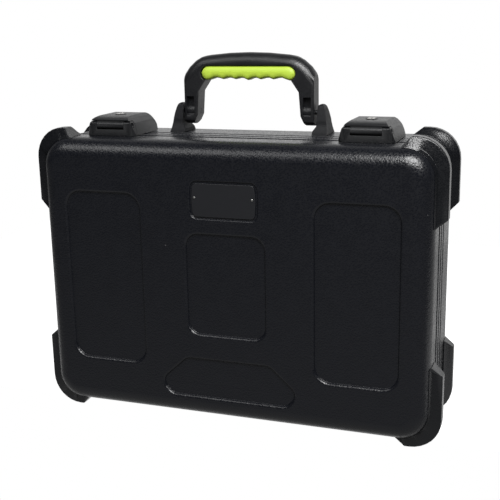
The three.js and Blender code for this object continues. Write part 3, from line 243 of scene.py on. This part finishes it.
def combine(piece, other, operation):
    """Cuts another object out of a piece, or keeps only what the two have in common."""
    modifier = piece.modifiers.new("combine", "BOOLEAN")
    modifier.operation = operation
    modifier.solver = "EXACT"
    modifier.object = other
    view = bpy.context.evaluated_depsgraph_get()
    mesh = bpy.data.meshes.new_from_object(piece.evaluated_get(view))
    piece.modifiers.clear()
    piece.data = mesh
    bpy.data.objects.remove(other)


def finish_piece(piece, material, body, slot, *nodes):
    """Smooths a piece, gives it its material and sets it on its body in place of CAD nodes."""
    mesh = piece.data
    if not mesh.materials:
        mesh.materials.append(material)
    mesh.materials[0] = material
    mesh.shade_smooth()
    mesh.set_sharp_from_angle(angle=smooth_angle)
    weighting = piece.modifiers.new("normals", "WEIGHTED_NORMAL")
    weighting.keep_sharp = True
    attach(piece, body)
    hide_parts(*nodes)


def new_material(name):
    """A material with its node tree and its shader."""
    material = bpy.data.materials.new(name)
    material.use_nodes = True
    return material, material.node_tree, material.node_tree.nodes["Principled BSDF"]


def texture(tree, kind, place, **settings):
    """A texture node on the given coordinates."""
    node = tree.nodes.new(f"ShaderNodeTex{kind}")
    for name, number in settings.items():
        node.inputs[name].default_value = number
    tree.links.new(place, node.inputs["Vector"])
    return node


def maths(tree, operation, *terms):
    """A sum whose terms are numbers or the outputs of other nodes."""
    node = tree.nodes.new("ShaderNodeMath")
    node.operation = operation
    for socket, term in zip(node.inputs, terms):
        if isinstance(term, bpy.types.NodeSocket):
            tree.links.new(term, socket)
        else:
            socket.default_value = term
    return node.outputs["Value"]


def ramp(tree, value, start, end, low=0, high=1):
    """Carries a value from one range over to another and stops it at both ends."""
    node = tree.nodes.new("ShaderNodeMapRange")
    node.inputs["From Min"].default_value = start
    node.inputs["From Max"].default_value = end
    node.inputs["To Min"].default_value = low
    node.inputs["To Max"].default_value = high
    tree.links.new(value, node.inputs["Value"])
    return node.outputs["Result"]


def mixed(tree, share, first, second):
    """A mix of two colours, each a colour or the output of another node."""
    node = tree.nodes.new("ShaderNodeMix")
    node.data_type = "RGBA"
    tree.links.new(share, node.inputs["Factor"])
    for name, colour in (("A", first), ("B", second)):
        if isinstance(colour, bpy.types.NodeSocket):
            tree.links.new(colour, node.inputs[name])
        else:
            node.inputs[name].default_value = colour
    return node.outputs["Result"]


def raised(tree, shader, height, relief, strength=1):
    """Lets a height stand out of the surface by its relief."""
    bump = tree.nodes.new("ShaderNodeBump")
    bump.inputs["Strength"].default_value = strength
    bump.inputs["Distance"].default_value = relief
    tree.links.new(height, bump.inputs["Height"])
    tree.links.new(bump.outputs["Normal"], shader.inputs["Normal"])


def shade(colour, share):
    """A colour made darker or lighter by a share."""
    return (*(part * share for part in colour), 1)


def moulded(name, colour, roughness, grain, relief, specular=0.4, mottle=0.15, worn=0.02):
    """Moulded plastic or rubber: a pebbled grain, an uneven sheen and paler, rubbed edges."""
    material, tree, shader = new_material(name)
    shader.inputs["Specular IOR Level"].default_value = specular
    place = tree.nodes.new("ShaderNodeTexCoord").outputs["Object"]
    pebbles = texture(tree, "Voronoi", place, Scale=1 / grain)
    pebbles.feature = "SMOOTH_F1"
    pebbles.inputs["Smoothness"].default_value = pebble_smoothness
    pebble = pebbles.outputs["Distance"]
    crumbs = texture(tree, "Noise", place, Scale=crumbs_per_pebble / grain,
                     Detail=crumb_detail).outputs["Fac"]
    sheen = texture(tree, "Noise", place, Scale=sheen_per_metre,
                    Detail=sheen_detail).outputs["Fac"]
    height = maths(tree, "MULTIPLY_ADD", pebble, pebble_weight, crumbs)
    polish = maths(tree, "MULTIPLY_ADD", sheen, sheen_weight, pebble)
    gloss = ramp(tree, polish, *polish_range, roughness * glossy_share, roughness * matt_share)
    tone = mixed(tree, sheen, shade(colour, 1 - mottle), shade(colour, 1 + mottle))
    edges = tree.nodes.new("ShaderNodeNewGeometry").outputs["Pointiness"]
    rub = maths(tree, "MULTIPLY", ramp(tree, edges, *wear_range), crumbs)
    rubbed = (*(part + worn for part in colour), 1)
    tree.links.new(mixed(tree, rub, tone, rubbed), shader.inputs["Base Color"])
    tree.links.new(gloss, shader.inputs["Roughness"])
    raised(tree, shader, height, relief)
    return material


def scuffed(material, spacing, radius, paleness):
    """Adds the few small pale specks that handling leaves on a dark moulding."""
    tree = material.node_tree
    colour = tree.nodes["Principled BSDF"].inputs["Base Color"]
    under = colour.links[0].from_socket
    place = tree.nodes.new("ShaderNodeTexCoord").outputs["Object"]
    specks = texture(tree, "Voronoi", place, Scale=1 / spacing)
    split = tree.nodes.new("ShaderNodeSeparateColor")
    tree.links.new(specks.outputs["Color"], split.inputs["Color"])
    near = maths(tree, "LESS_THAN", specks.outputs["Distance"], radius / spacing)
    chosen = maths(tree, "GREATER_THAN", split.outputs["Red"], plain_cell_share)
    speck = (paleness, paleness, paleness, 1)
    tree.links.new(mixed(tree, maths(tree, "MULTIPLY", near, chosen), under, speck), colour)
    return material


shell_plastic = scuffed(
    moulded("pebbled_shell_plastic", colour=(0.003, 0.0034, 0.005), roughness=0.24,
            grain=1.9 * mm, relief=0.055 * mm),
    spacing=22 * mm, radius=0.8 * mm, paleness=0.05)

lid_rim = -seam_lip - lip_chamfer
lid_outer = [(0, lid_rim)] + round_edge(0, -lid_depth, shell_edge, 1)
lid_inner = [
    (0, lid_rim),
    (lip_chamfer, -seam_lip),
    (seam_notch, -seam_lip),
    (seam_notch, -seam_gap),
    (tongue_inset, -seam_gap),
    (tongue_inset, tongue_depth),
    (tongue_inset + tongue_width, tongue_depth),
    (tongue_inset + tongue_width, -seam_gap),
    (seam_notch + rim_thickness, -seam_gap),
    (seam_notch + rim_thickness, -rim_depth),
    (shell_wall, -rim_depth - rim_blend),
] + round_edge(shell_wall, shell_face - lid_depth, shell_inner_edge, 1)
lid_shell = add_mesh("lid_shell_moulding", shell_body(lid_outer, lid_inner))
plugs = bmesh.new()
panel_plugs(plugs, -lid_depth, 1)
plug(plugs, symmetric(foot_recess_half), foot_recess_corner,
     rolled_wall(recess_depth, recess_shoulder), recess_depth - lid_depth, 1)
plug(plugs, symmetric(badge_recess_half), badge_recess_corner,
     rolled_wall(badge_recess_depth, badge_recess_shoulder), badge_recess_depth - lid_depth, 1)
combine(lid_shell, add_mesh("lid_plugs", plugs), "DIFFERENCE")
lid_shell.data.transform(Matrix.Translation(shell_middle))
finish_piece(lid_shell, shell_plastic, "lid", "shell_black", "lid_shell")

# Base shell
# The deeper back half is moulded in the same ABS. Behind its lip two grooves leave three ribbed
# bands, its rim holds the gasket's groove, and its back has the same three recesses as the lid.

rib_band = 8.5 * mm
rib_groove_width = 6 * mm
rib_groove_depth = 1.6 * mm
rib_groove_slope = 0.6 * mm
rib_groove_count = 2
groove_clearance = 0.5 * mm
groove_depth = 5.25 * mm

base_rim = seam_lip + lip_chamfer
base_outer = [(0, base_rim)]
for groove in range(rib_groove_count):
    start = seam_lip + rib_band + groove * (rib_groove_width + rib_band)
    base_outer += [
        (0, start),
        (rib_groove_depth, start + rib_groove_slope),
        (rib_groove_depth, start + rib_groove_width - rib_groove_slope),
        (0, start + rib_groove_width),
    ]
base_outer += round_edge(0, base_depth, shell_edge, -1)
groove_outer = tongue_inset - groove_clearance
groove_inner = tongue_inset + tongue_width + groove_clearance
base_inner = [
    (0, base_rim),
    (lip_chamfer, seam_lip),
    (seam_notch, seam_lip),
    (seam_notch, seam_gap),
    (groove_outer, seam_gap),
    (groove_outer, groove_depth),
    (groove_inner, groove_depth),
    (groove_inner, seam_gap),
    (seam_notch + rim_thickness, seam_gap),
    (seam_notch + rim_thickness, groove_depth + rim_blend),
    (shell_wall, groove_depth + 2 * rim_blend),
] + round_edge(shell_wall, base_depth - shell_face, shell_inner_edge, -1)
base_shell = add_mesh("base_shell_moulding", shell_body(base_outer, base_inner))
plugs = bmesh.new()
panel_plugs(plugs, base_depth, -1)
combine(base_shell, add_mesh("base_plugs", plugs), "DIFFERENCE")
base_shell.data.transform(Matrix.Translation(shell_middle))
finish_piece(base_shell, shell_plastic, "base", "shell_black", "base_shell")

# Corner bumpers
# Each shell has four corner bumpers, moulded in a tougher, finer-grained plastic and pressed round
# its corners. A thin lip lies on the shell's rounded edge and a hollow flank faces the seam.

bumper_edge = 0.55 * mm
valley_depth = 4 * mm
valley_height = 1.3 * mm
base_cove_moves = [(5.85 * mm, 0.7 * mm), (3.75 * mm, 1 * mm)]
weld = 0.002 * mm
flat_angle = math.radians(0.5)


def softened(node, suffix, edge=0, segments=2, reshape=None):
    """A node's own shape with its triangles joined into whole faces and its edges rounded.

    The rounding is held back everywhere by the shortest edges of the piece, often to far less
    than its width.
    """
    bm = bmesh.new()
    bm.from_mesh(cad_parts[node].data)
    bmesh.ops.remove_doubles(bm, verts=bm.verts, dist=weld)
    if reshape:
        reshape(bm)
    bmesh.ops.dissolve_limit(bm, angle_limit=flat_angle, verts=bm.verts, edges=bm.edges)
    piece = add_mesh(f"{node}_{suffix}", bm)
    if edge:
        rounding = piece.modifiers.new("edges", "BEVEL")
        rounding.width = edge
        rounding.segments = segments
        rounding.limit_method = "ANGLE"
        rounding.angle_limit = smooth_angle
        rounding.harden_normals = True
    return piece


def way_out(point):
    """How far a point lies outside the shell's side walls, and which way is out there."""
    across = point.x
    along = point.z - shell_middle.z
    past = Vector((max(abs(across) - shell_width / 2 + shell_corner, 0), 0,
                   max(abs(along) - shell_height / 2 + shell_corner, 0)))
    out = past.normalized()
    out = Vector((math.copysign(out.x, across), 0, math.copysign(out.z, along)))
    return past.length - shell_corner, out


def hollow_flank(bm):
    """Draws a lid bumper's slanted flank in, so that its lip is thin and its wall stands up.

    The cut leaves doubled points, which should be joined before the edges are rounded.
    """
    front = min(vertex.co.y for vertex in bm.verts)
    cut = bmesh.ops.bisect_plane(bm, geom=bm.verts[:] + bm.edges[:] + bm.faces[:],
                                 plane_co=(0, front + valley_depth, 0), plane_no=(0, 1, 0))
    for vertex in (part for part in cut["geom_cut"] if isinstance(part, bmesh.types.BMVert)):
        height, out = way_out(vertex.co)
        if height > valley_height:
            vertex.co -= out * (height - valley_height)


def steeper_cove(bm):
    """Moves the points of a base bumper's cove towards the seam, so that it faces the front."""
    front = min(vertex.co.y for vertex in bm.verts)
    for depth, forward in base_cove_moves:
        row = [vertex for vertex in bm.verts if abs(vertex.co.y - front - depth) < weld]
        bmesh.ops.translate(bm, vec=(0, -forward, 0), verts=row)


bumper_plastic = moulded("bumper_plastic", colour=(0.003, 0.0033, 0.0042), roughness=0.22,
                         grain=1.6 * mm, relief=0.045 * mm)
for half, reshape in (("lid", hollow_flank), ("base", steeper_cove)):
    for corner in ("top_left", "top_right", "bottom_left", "bottom_right"):
        node = f"{half}_bumper_{corner}"
        bumper = softened(node, "moulding", bumper_edge, reshape=reshape)
        finish_piece(bumper, bumper_plastic, half, "bumper_black", node)

# Seam gasket
# A ring of soft sponge rubber lies in the base's groove, where the lid's tongue presses it when
# the latches close.

gasket_edge = 0.4 * mm
gasket_rubber = moulded("gasket_sponge", colour=(0.004, 0.004, 0.0042), roughness=0.75,
                        grain=0.5 * mm, relief=0.08 * mm, specular=0.25)
gasket = softened("seam_gasket", "ring", gasket_edge)
finish_piece(gasket, gasket_rubber, "base", "gasket_rubber", "seam_gasket")

# Badge
# A thin aluminium plate, lacquered satin black and left bare, lies in the lid's shallow recess.
# Two small domed steel rivets go through it into the lid's face.

badge_edge = 0.25 * mm
rivet_edge = 0.3 * mm
rivet_steps = 3
lines_per_metre = 90
line_detail = 5
line_relief = 0.01 * mm
line_strength = 0.4
clouds_per_metre = 130
cloud_detail = 3
bright_share = 0.75
dull_share = 1.25


def metal(name, colour, roughness, metallic=1, streak=40, stain=0.25):
    """Plated or lacquered metal with fine rolling streaks and a slightly uneven sheen."""
    material, tree, shader = new_material(name)
    shader.inputs["Metallic"].default_value = metallic
    place = tree.nodes.new("ShaderNodeTexCoord").outputs["Object"]
    along = tree.nodes.new("ShaderNodeMapping")
    along.inputs["Scale"].default_value = (1, streak, streak)
    tree.links.new(place, along.inputs["Vector"])
    lines = texture(tree, "Noise", along.outputs["Vector"], Scale=lines_per_metre,
                    Detail=line_detail).outputs["Fac"]
    clouds = texture(tree, "Noise", place, Scale=clouds_per_metre,
                     Detail=cloud_detail).outputs["Fac"]
    gloss = ramp(tree, lines, 0, 1, roughness * bright_share, roughness * dull_share)
    tone = mixed(tree, clouds, shade(colour, 1 - stain), shade(colour, 1))
    tree.links.new(gloss, shader.inputs["Roughness"])
    tree.links.new(tone, shader.inputs["Base Color"])
    raised(tree, shader, lines, line_relief, line_strength)
    return material


badge_lacquer = metal("badge_lacquer", colour=(0.0045, 0.0049, 0.0065), roughness=0.42, metallic=0)
bare_steel = metal("zinc_plated_steel", colour=(0.62, 0.62, 0.6), roughness=0.3)
badge = softened("badge_plate", "sheet", badge_edge)
finish_piece(badge, badge_lacquer, "lid", "badge_black", "badge_plate")
for side in ("left", "right"):
    node = f"badge_rivet_{side}"
    rivet = softened(node, "dome", rivet_edge, rivet_steps)
    finish_piece(rivet, bare_steel, "lid", "bare_steel", node)

# Lid foam
# A sheet of firm charcoal polyurethane foam lines the lid. Its face edge is cut round to lie in the
# moulding's hollow, and its open face has softly crushed edges.

foam_pillow = 1.2 * mm
foam_pillow_steps = 3
foam_crown = 0.5 * mm
foam_crown_reach = 15 * mm
foam_crown_shares = (0.33, 0.66, 1)
foam_edge_steps = 4
foam_edge_round = 9 * mm
foam_corner = 20 * mm
foam_roughness = 0.95
foam_specular = 0.15
foam_fuzz = 0.15
foam_cell = 1.6 * mm
foam_relief = 0.5 * mm
fine_cells_per_cell = 2.7
pore_depth = 0.9
# Painted shade: the foam's colour is darkened to this share at the bottom of each pore and
# lightened to the skin share on the cell walls.
painted_pore_shade = 0.45
skin_share = 1.2


def foam_material(name, colour):
    """Open-cell foam: matt, with small pores of two sizes, and painted shade that darkens the
    colour down in each pore.
    """
    material, tree, shader = new_material(name)
    shader.inputs["Roughness"].default_value = foam_roughness
    shader.inputs["Specular IOR Level"].default_value = foam_specular
    shader.inputs["Sheen Weight"].default_value = foam_fuzz
    place = tree.nodes.new("ShaderNodeTexCoord").outputs["Object"]
    cells = texture(tree, "Voronoi", place, Scale=1 / foam_cell)
    fine = texture(tree, "Voronoi", place, Scale=fine_cells_per_cell / foam_cell)
    depth = maths(tree, "ADD", cells.outputs["Distance"], fine.outputs["Distance"])
    # Painted shade in the pores: the colour follows pore depth, darkest in the pits, and does not
    # come from the lamps.
    tone = mixed(tree, ramp(tree, depth, 0, pore_depth), shade(colour, painted_pore_shade),
                 shade(colour, skin_share))
    tree.links.new(tone, shader.inputs["Base Color"])
    raised(tree, shader, depth, foam_relief)
    return material


def foam_sheet(node, opens, edge_round):
    """A block of foam in a node's box: a rounded edge at its face, a soft crown where it opens."""
    low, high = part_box(node)
    size = high - low
    bm = bmesh.new()
    side = rounded_outline(bm, size.x, size.z, foam_corner, corner_steps)
    back_depth = -size.y / 2
    start = back_depth + edge_round
    bmesh.ops.translate(bm, vec=(0, opens * start, 0), verts=bm.verts)
    side.normal_update()
    if opens > 0:
        side.normal_flip()
    top = size.y / 2 - foam_crown
    pillow = round_edge(0, top, foam_pillow, -1, foam_pillow_steps)
    crown = [(foam_crown_reach * share, top + foam_crown * math.sin(math.radians(90) * share))
             for share in foam_crown_shares]
    outer = [(0, start), *pillow, *crown]
    carry(bm, side, [(inset, opens * depth) for inset, depth in outer])
    back = close_end(bm)
    if opens > 0:
        back.normal_flip()
    rounding = round_edge(0, back_depth, edge_round, 1, foam_edge_steps)
    carry(bm, back, [(inset, opens * depth) for inset, depth in rounding])
    bmesh.ops.recalc_face_normals(bm, faces=bm.faces)
    foam = add_mesh(f"{node}_block", bm)
    foam.data.transform(Matrix.Translation((low + high) / 2))
    return foam


grey_foam = foam_material("charcoal_foam", colour=(0.022, 0.0225, 0.024))
lid_foam = foam_sheet("lid_foam", 1, foam_edge_round)
finish_piece(lid_foam, grey_foam, "lid", "foam_grey", "lid_foam")

# Base foam
# A thick sheet of foam with six cut-outs, each the shape of a handheld microphone with its head at
# alternate ends, rests on a plain pad that fills the bottom of the base.

pocket_count = 6
pocket_side_margin = 17 * mm
pocket_end_margin = 18.95 * mm
pocket_body_half = 21 * mm
pocket_head_half = 28.5 * mm
pocket_head_length = 72 * mm
pocket_corner = 5 * mm
pocket_ease = 1.5 * mm
pocket_ease_steps = 3
foam_tray_edge_round = 1 * mm

base_pad = foam_sheet("base_foam_pad", -1, foam_edge_round)
finish_piece(base_pad, grey_foam, "base", "foam_grey", "base_foam_pad")

tray = foam_sheet("base_foam_tray", -1, foam_tray_edge_round)
tray_low, tray_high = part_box("base_foam_tray")
tray_depth = tray_high.y - tray_low.y
pocket_wall = [(0, -cut_overrun)]
pocket_wall += round_edge(0, tray_depth, pocket_ease, -1, pocket_ease_steps)
pocket_wall += [(pocket_ease, tray_depth + cut_overrun)]
first = tray_low.x + pocket_side_margin + pocket_head_half
pitch = -2 * first / (pocket_count - 1)
tray_middle = (tray_low.z + tray_high.z) / 2
pocket_half = (tray_high.z - tray_low.z) / 2 - pocket_end_margin
plugs = bmesh.new()
neck = pocket_half - pocket_head_length
flare = pocket_head_half - pocket_body_half
right = [(pocket_body_half, -pocket_half), (pocket_body_half, neck - flare),
         (pocket_head_half, neck), (pocket_head_half, pocket_half)]
outline = right + [(-across, along) for across, along in reversed(right)]
for pocket in range(pocket_count):
    x = first + pocket * pitch
    head_up = -1 if pocket % 2 else 1
    corners = [(x + across, tray_middle + head_up * along) for across, along in outline]
    plug(plugs, corners, pocket_corner, pocket_wall, tray_high.y, 1, root=0)
combine(tray, add_mesh("pocket_plugs", plugs), "DIFFERENCE")
finish_piece(tray, grey_foam, "base", "foam_grey", "base_foam_tray")

# Handle
# The bail is glass-filled nylon and turns on two steel pins between moulded brackets, which a
# studded steel plate holds from inside. A lime elastomer grip is moulded into its crown.

bail_ease = 0.04 * mm
bail_half_thickness = 11.5 * mm + bail_ease
bail_round = 11 * mm
bail_round_steps = 8
bail_outline_half = [(84, -15), (84, 34), (72.04, 50.04), (64.04, 57.04), (56, 61.6),
                     (46, 63.24), (23, 65.34), (0, 66.04)]
bracket_edge = 0.9 * mm
bracket_steps = 3
handle_pin_edge = 0.3 * mm
plate_edge = 0.3 * mm
nylon_black = (0.004, 0.0042, 0.005)
nylon_grain = 0.8 * mm
nylon_relief = 0.03 * mm


def bail_pillow():
    """The bail's outer form: fully rounded over its crown and shoulders, and flat at its legs."""
    low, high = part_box("handle_bail")
    crown = bail_outline_half[-1][1] * mm - bail_ease
    middle = (low.y + high.y) / 2
    bm = bmesh.new()
    outline = symmetric(bail_outline_half)
    front = bm.faces.new([bm.verts.new((x, middle - bail_half_thickness, z + high.z - crown))
                          for x, z in outline])
    back = bmesh.ops.extrude_face_region(bm, geom=[front])["geom"]
    moved = [part for part in back if isinstance(part, bmesh.types.BMVert)]
    bmesh.ops.translate(bm, vec=(0, 2 * bail_half_thickness, 0), verts=moved)
    bmesh.ops.remove_doubles(bm, verts=bm.verts, dist=weld)
    bmesh.ops.recalc_face_normals(bm, faces=bm.faces)
    foot = min(vertex.co.z for vertex in bm.verts)
    rims = [edge for edge in bm.edges
            if abs(edge.verts[0].co.y - edge.verts[1].co.y) < weld
            and max(vertex.co.z for vertex in edge.verts) > foot + weld]
    bmesh.ops.bevel(bm, geom=rims, offset=bail_round, affect="EDGES", segments=bail_round_steps,
                    profile=round_profile, clamp_overlap=False, material=-1)
    return add_mesh("bail_pillow", bm)


handle_plastic = moulded("handle_nylon", colour=nylon_black, roughness=0.3,
                         grain=nylon_grain, relief=nylon_relief)
bracket_plastic = moulded("bracket_nylon", colour=nylon_black, roughness=0.4,
                          grain=nylon_grain, relief=nylon_relief, specular=0.15)
grip_rubber = moulded("grip_elastomer", colour=(0.27, 0.37, 0.028), roughness=0.42,
                      grain=0.9 * mm, relief=0.015 * mm, mottle=0.03, worn=0.03)
black_steel = metal("black_zinc_steel", colour=(0.05, 0.05, 0.053), roughness=0.35)
bail = softened("handle_bail", "moulding")
combine(bail, bail_pillow(), "INTERSECT")
finish_piece(bail, handle_plastic, "handle", "handle_black", "handle_bail")
for side in ("left", "right"):
    node = f"handle_bracket_{side}"
    bracket = softened(node, "moulding", bracket_edge, bracket_steps)
    finish_piece(bracket, bracket_plastic, "base", "handle_black", node)
grip = softened("handle_grip", "moulding")
finish_piece(grip, grip_rubber, "handle", "grip_lime", "handle_grip")
for side in ("left", "right"):
    node = f"handle_pin_{side}"
    pin = softened(node, "rod", handle_pin_edge)
    finish_piece(pin, black_steel, "base", "black_steel", node)
plate = softened("handle_backing_plate", "steel", plate_edge)
finish_piece(plate, bare_steel, "base", "bare_steel", "handle_backing_plate")

# Latches
# Each latch is a moulded bracket on the lid and a domed lever on a steel pin. A steel hook under
# the lever's roof catches a strike on the base, where a leaf spring lifts it. Studded plates hold
# bracket and strike from inside.

latch_edge_steps = 3
latch_bracket_edge = 0.6 * mm
latch_lever_edge = 0.8 * mm
latch_pin_edge = 0.3 * mm
latch_catch_edge = 0.4 * mm
latch_spring_edge = 0.1 * mm
latch_plastic = moulded("latch_plastic", colour=(0.0045, 0.0048, 0.0055), roughness=0.31,
                        grain=0.7 * mm, relief=0.03 * mm, specular=0.34)
for side in ("left", "right"):
    for part, edge, material, body, slot in (
        ("latch_bracket", latch_bracket_edge, latch_plastic, "lid", "latch_black"),
        ("latch_lever", latch_lever_edge, latch_plastic, f"latch_{side}", "latch_black"),
        ("latch_pin", latch_pin_edge, bare_steel, "lid", "bare_steel"),
        ("latch_hook", latch_catch_edge, black_steel, f"latch_{side}", "black_steel"),
        ("latch_strike", latch_catch_edge, black_steel, "base", "black_steel"),
        ("latch_spring", latch_spring_edge, bare_steel, "base", "bare_steel"),
        ("latch_backing_plate", plate_edge, bare_steel, "lid", "bare_steel"),
        ("strike_backing_plate", plate_edge, bare_steel, "base", "bare_steel"),
    ):
        node = f"{part}_{side}"
        piece = softened(node, "part", edge, latch_edge_steps)
        finish_piece(piece, material, body, slot, node)

# Locks
# A small key lock sits in each lever: a barrel with a black rim and a bare nickel plug, and a steel
# cam under it that keeps the hook from swinging back.

lock_plug_radius = 3.1 * mm
lock_plug_sink = 0.15 * mm
lock_cam_edge = 0.2 * mm


def key_plug(bm):
    """Marks a plug off in the barrel's flat top and sinks it a little."""
    across = [vertex.co.x for vertex in bm.verts]
    rim = (max(across) - min(across)) / 2 - lock_plug_radius
    top = max(vertex.co.z for vertex in bm.verts)
    faces = [face for face in bm.faces if face.calc_center_median().z > top - weld]
    bmesh.ops.inset_region(bm, faces=faces, thickness=rim, use_even_offset=True)
    bmesh.ops.inset_region(bm, faces=faces, thickness=lock_plug_sink, depth=-lock_plug_sink,
                           use_even_offset=True)
    for face in faces:
        face.material_index = 1


nickel = metal("nickel_plate", colour=(0.66, 0.64, 0.6), roughness=0.28, streak=1)
lock_lacquer = metal("lock_lacquer", colour=(0.012, 0.012, 0.013), roughness=0.4, metallic=0,
                     streak=1)
for side in ("left", "right"):
    node = f"lock_cylinder_{side}"
    barrel = softened(node, "barrel", reshape=key_plug)
    barrel.data.materials.append(lock_lacquer)
    barrel.data.materials.append(nickel)
    finish_piece(barrel, lock_lacquer, f"lock_{side}", "lock_nickel", node)
    node = f"lock_cam_{side}"
    cam = softened(node, "part", lock_cam_edge)
    finish_piece(cam, bare_steel, f"lock_{side}", "bare_steel", node)

# Hinges
# Three steel butt hinges join the shells under the case. Each leaf is bent up round its pin and
# riveted through the wall to a strip inside.

hinge_edge = 0.25 * mm
for place in ("left", "centre", "right"):
    for part, material, body, slot in (
        ("hinge_lid_leaf", black_steel, "lid", "black_steel"),
        ("hinge_base_leaf", black_steel, "base", "black_steel"),
        ("hinge_pin", bare_steel, "base", "bare_steel"),
    ):
        node = f"{part}_{place}"
        finish_piece(softened(node, "part", hinge_edge), material, body, slot, node)
for half in ("lid", "base"):
    node = f"hinge_strip_{half}"
    finish_piece(softened(node, "part", hinge_edge), bare_steel, half, "bare_steel", node)

# Studio
# A white table whose front edge lies under the seam, so that the lid can swing down past it, plain
# soft light, and the camera where the photograph was taken.

table_width = 1600 * mm
table_depth = 900 * mm
table_front = -30 * mm
table_grey = (0.5, 0.5, 0.5, 1)
pure_white = (1, 1, 1, 1)
table_roughness = 0.9
table_glow = 0.8
room_ambient = 0.35
room_front = 0.04
room_back = 0.9
front_to_back = (0.2, 0.9)
below_horizon = 0.7
above_horizon = 1.1
horizon = (-0.05, 0.1)
ground_light = 0.36
ground_range = (-0.45, -0.08)
lamp_aim = Vector((0, 0, 250 * mm))
front_lamp_place = Vector((500 * mm, -880 * mm, 1240 * mm))
left_lamp_place = Vector((-650 * mm, -750 * mm, 1200 * mm))
camera_place = (354.613 * mm, -968.785 * mm, 454.183 * mm)
camera_turn = (75.8167, 1.0675, 19.5530)
lens_length = 66.876
sensor_width = 36

table_mesh = bmesh.new()
bmesh.ops.create_grid(table_mesh, x_segments=1, y_segments=1, size=unit_half)
bmesh.ops.scale(table_mesh, vec=(table_width, table_depth, 1), verts=table_mesh.verts)
bmesh.ops.translate(table_mesh, vec=(0, table_front + table_depth / 2, 0), verts=table_mesh.verts)
table = add_mesh("table", table_mesh)
table_paint, tree, paint = new_material("table_paint")
paint.inputs["Base Color"].default_value = table_grey
paint.inputs["Roughness"].default_value = table_roughness
paint.inputs["Emission Color"].default_value = pure_white
rays = tree.nodes.new("ShaderNodeLightPath").outputs
glow = maths(tree, "MULTIPLY", rays["Is Camera Ray"], table_glow)
tree.links.new(glow, paint.inputs["Emission Strength"])
table.data.materials.append(table_paint)

# The case mirrors a room that is bright behind it and dim in front. The camera sees plain white.
world = bpy.data.worlds.new("studio")
bpy.context.scene.world = world
world.use_nodes = True
tree = world.node_tree
rays = tree.nodes.new("ShaderNodeLightPath").outputs
direction = tree.nodes.new("ShaderNodeSeparateXYZ")
looked = tree.nodes.new("ShaderNodeTexCoord").outputs["Generated"]
tree.links.new(looked, direction.inputs["Vector"])
behind = ramp(tree, direction.outputs["Y"], *front_to_back, room_front, room_back)
sky = ramp(tree, direction.outputs["Z"], *horizon, below_horizon, above_horizon)
ground = ramp(tree, direction.outputs["Z"], *ground_range, ground_light, 0)
room = maths(tree, "MULTIPLY_ADD", behind, sky, ground)
mirrored = tree.nodes.new("ShaderNodeMix")
mirrored.data_type = "FLOAT"
mirrored.inputs["A"].default_value = room_ambient
tree.links.new(room, mirrored.inputs["B"])
tree.links.new(rays["Is Glossy Ray"], mirrored.inputs["Factor"])
seen = maths(tree, "MAXIMUM", rays["Is Camera Ray"], rays["Is Transmission Ray"])
strength = maths(tree, "MAXIMUM", mirrored.outputs["Result"], seen)
background = tree.nodes["Background"]
background.inputs["Color"].default_value = pure_white
tree.links.new(strength, background.inputs["Strength"])


def soft_box(name, place, width, height, power):
    """A rectangular lamp that looks at the case."""
    light = bpy.data.lights.new(name, "AREA")
    light.shape = "RECTANGLE"
    light.size = width
    light.size_y = height
    light.energy = power
    lamp = bpy.data.objects.new(name, light)
    lamp.location = place
    lamp.rotation_euler = (lamp_aim - place).to_track_quat("-Z", "Y").to_euler()
    bpy.context.scene.collection.objects.link(lamp)


soft_box("front_lamp", front_lamp_place, width=950 * mm, height=660 * mm, power=42)
soft_box("left_lamp", left_lamp_place, width=700 * mm, height=500 * mm, power=4.5)

lens = bpy.data.cameras.new("camera")
lens.lens = lens_length
lens.sensor_width = sensor_width
camera = bpy.data.objects.new("camera", lens)
camera.location = camera_place
camera.rotation_euler = [math.radians(turn) for turn in camera_turn]
bpy.context.scene.collection.objects.link(camera)
bpy.context.scene.camera = camera
bpy.context.scene.view_settings.view_transform = "Standard"
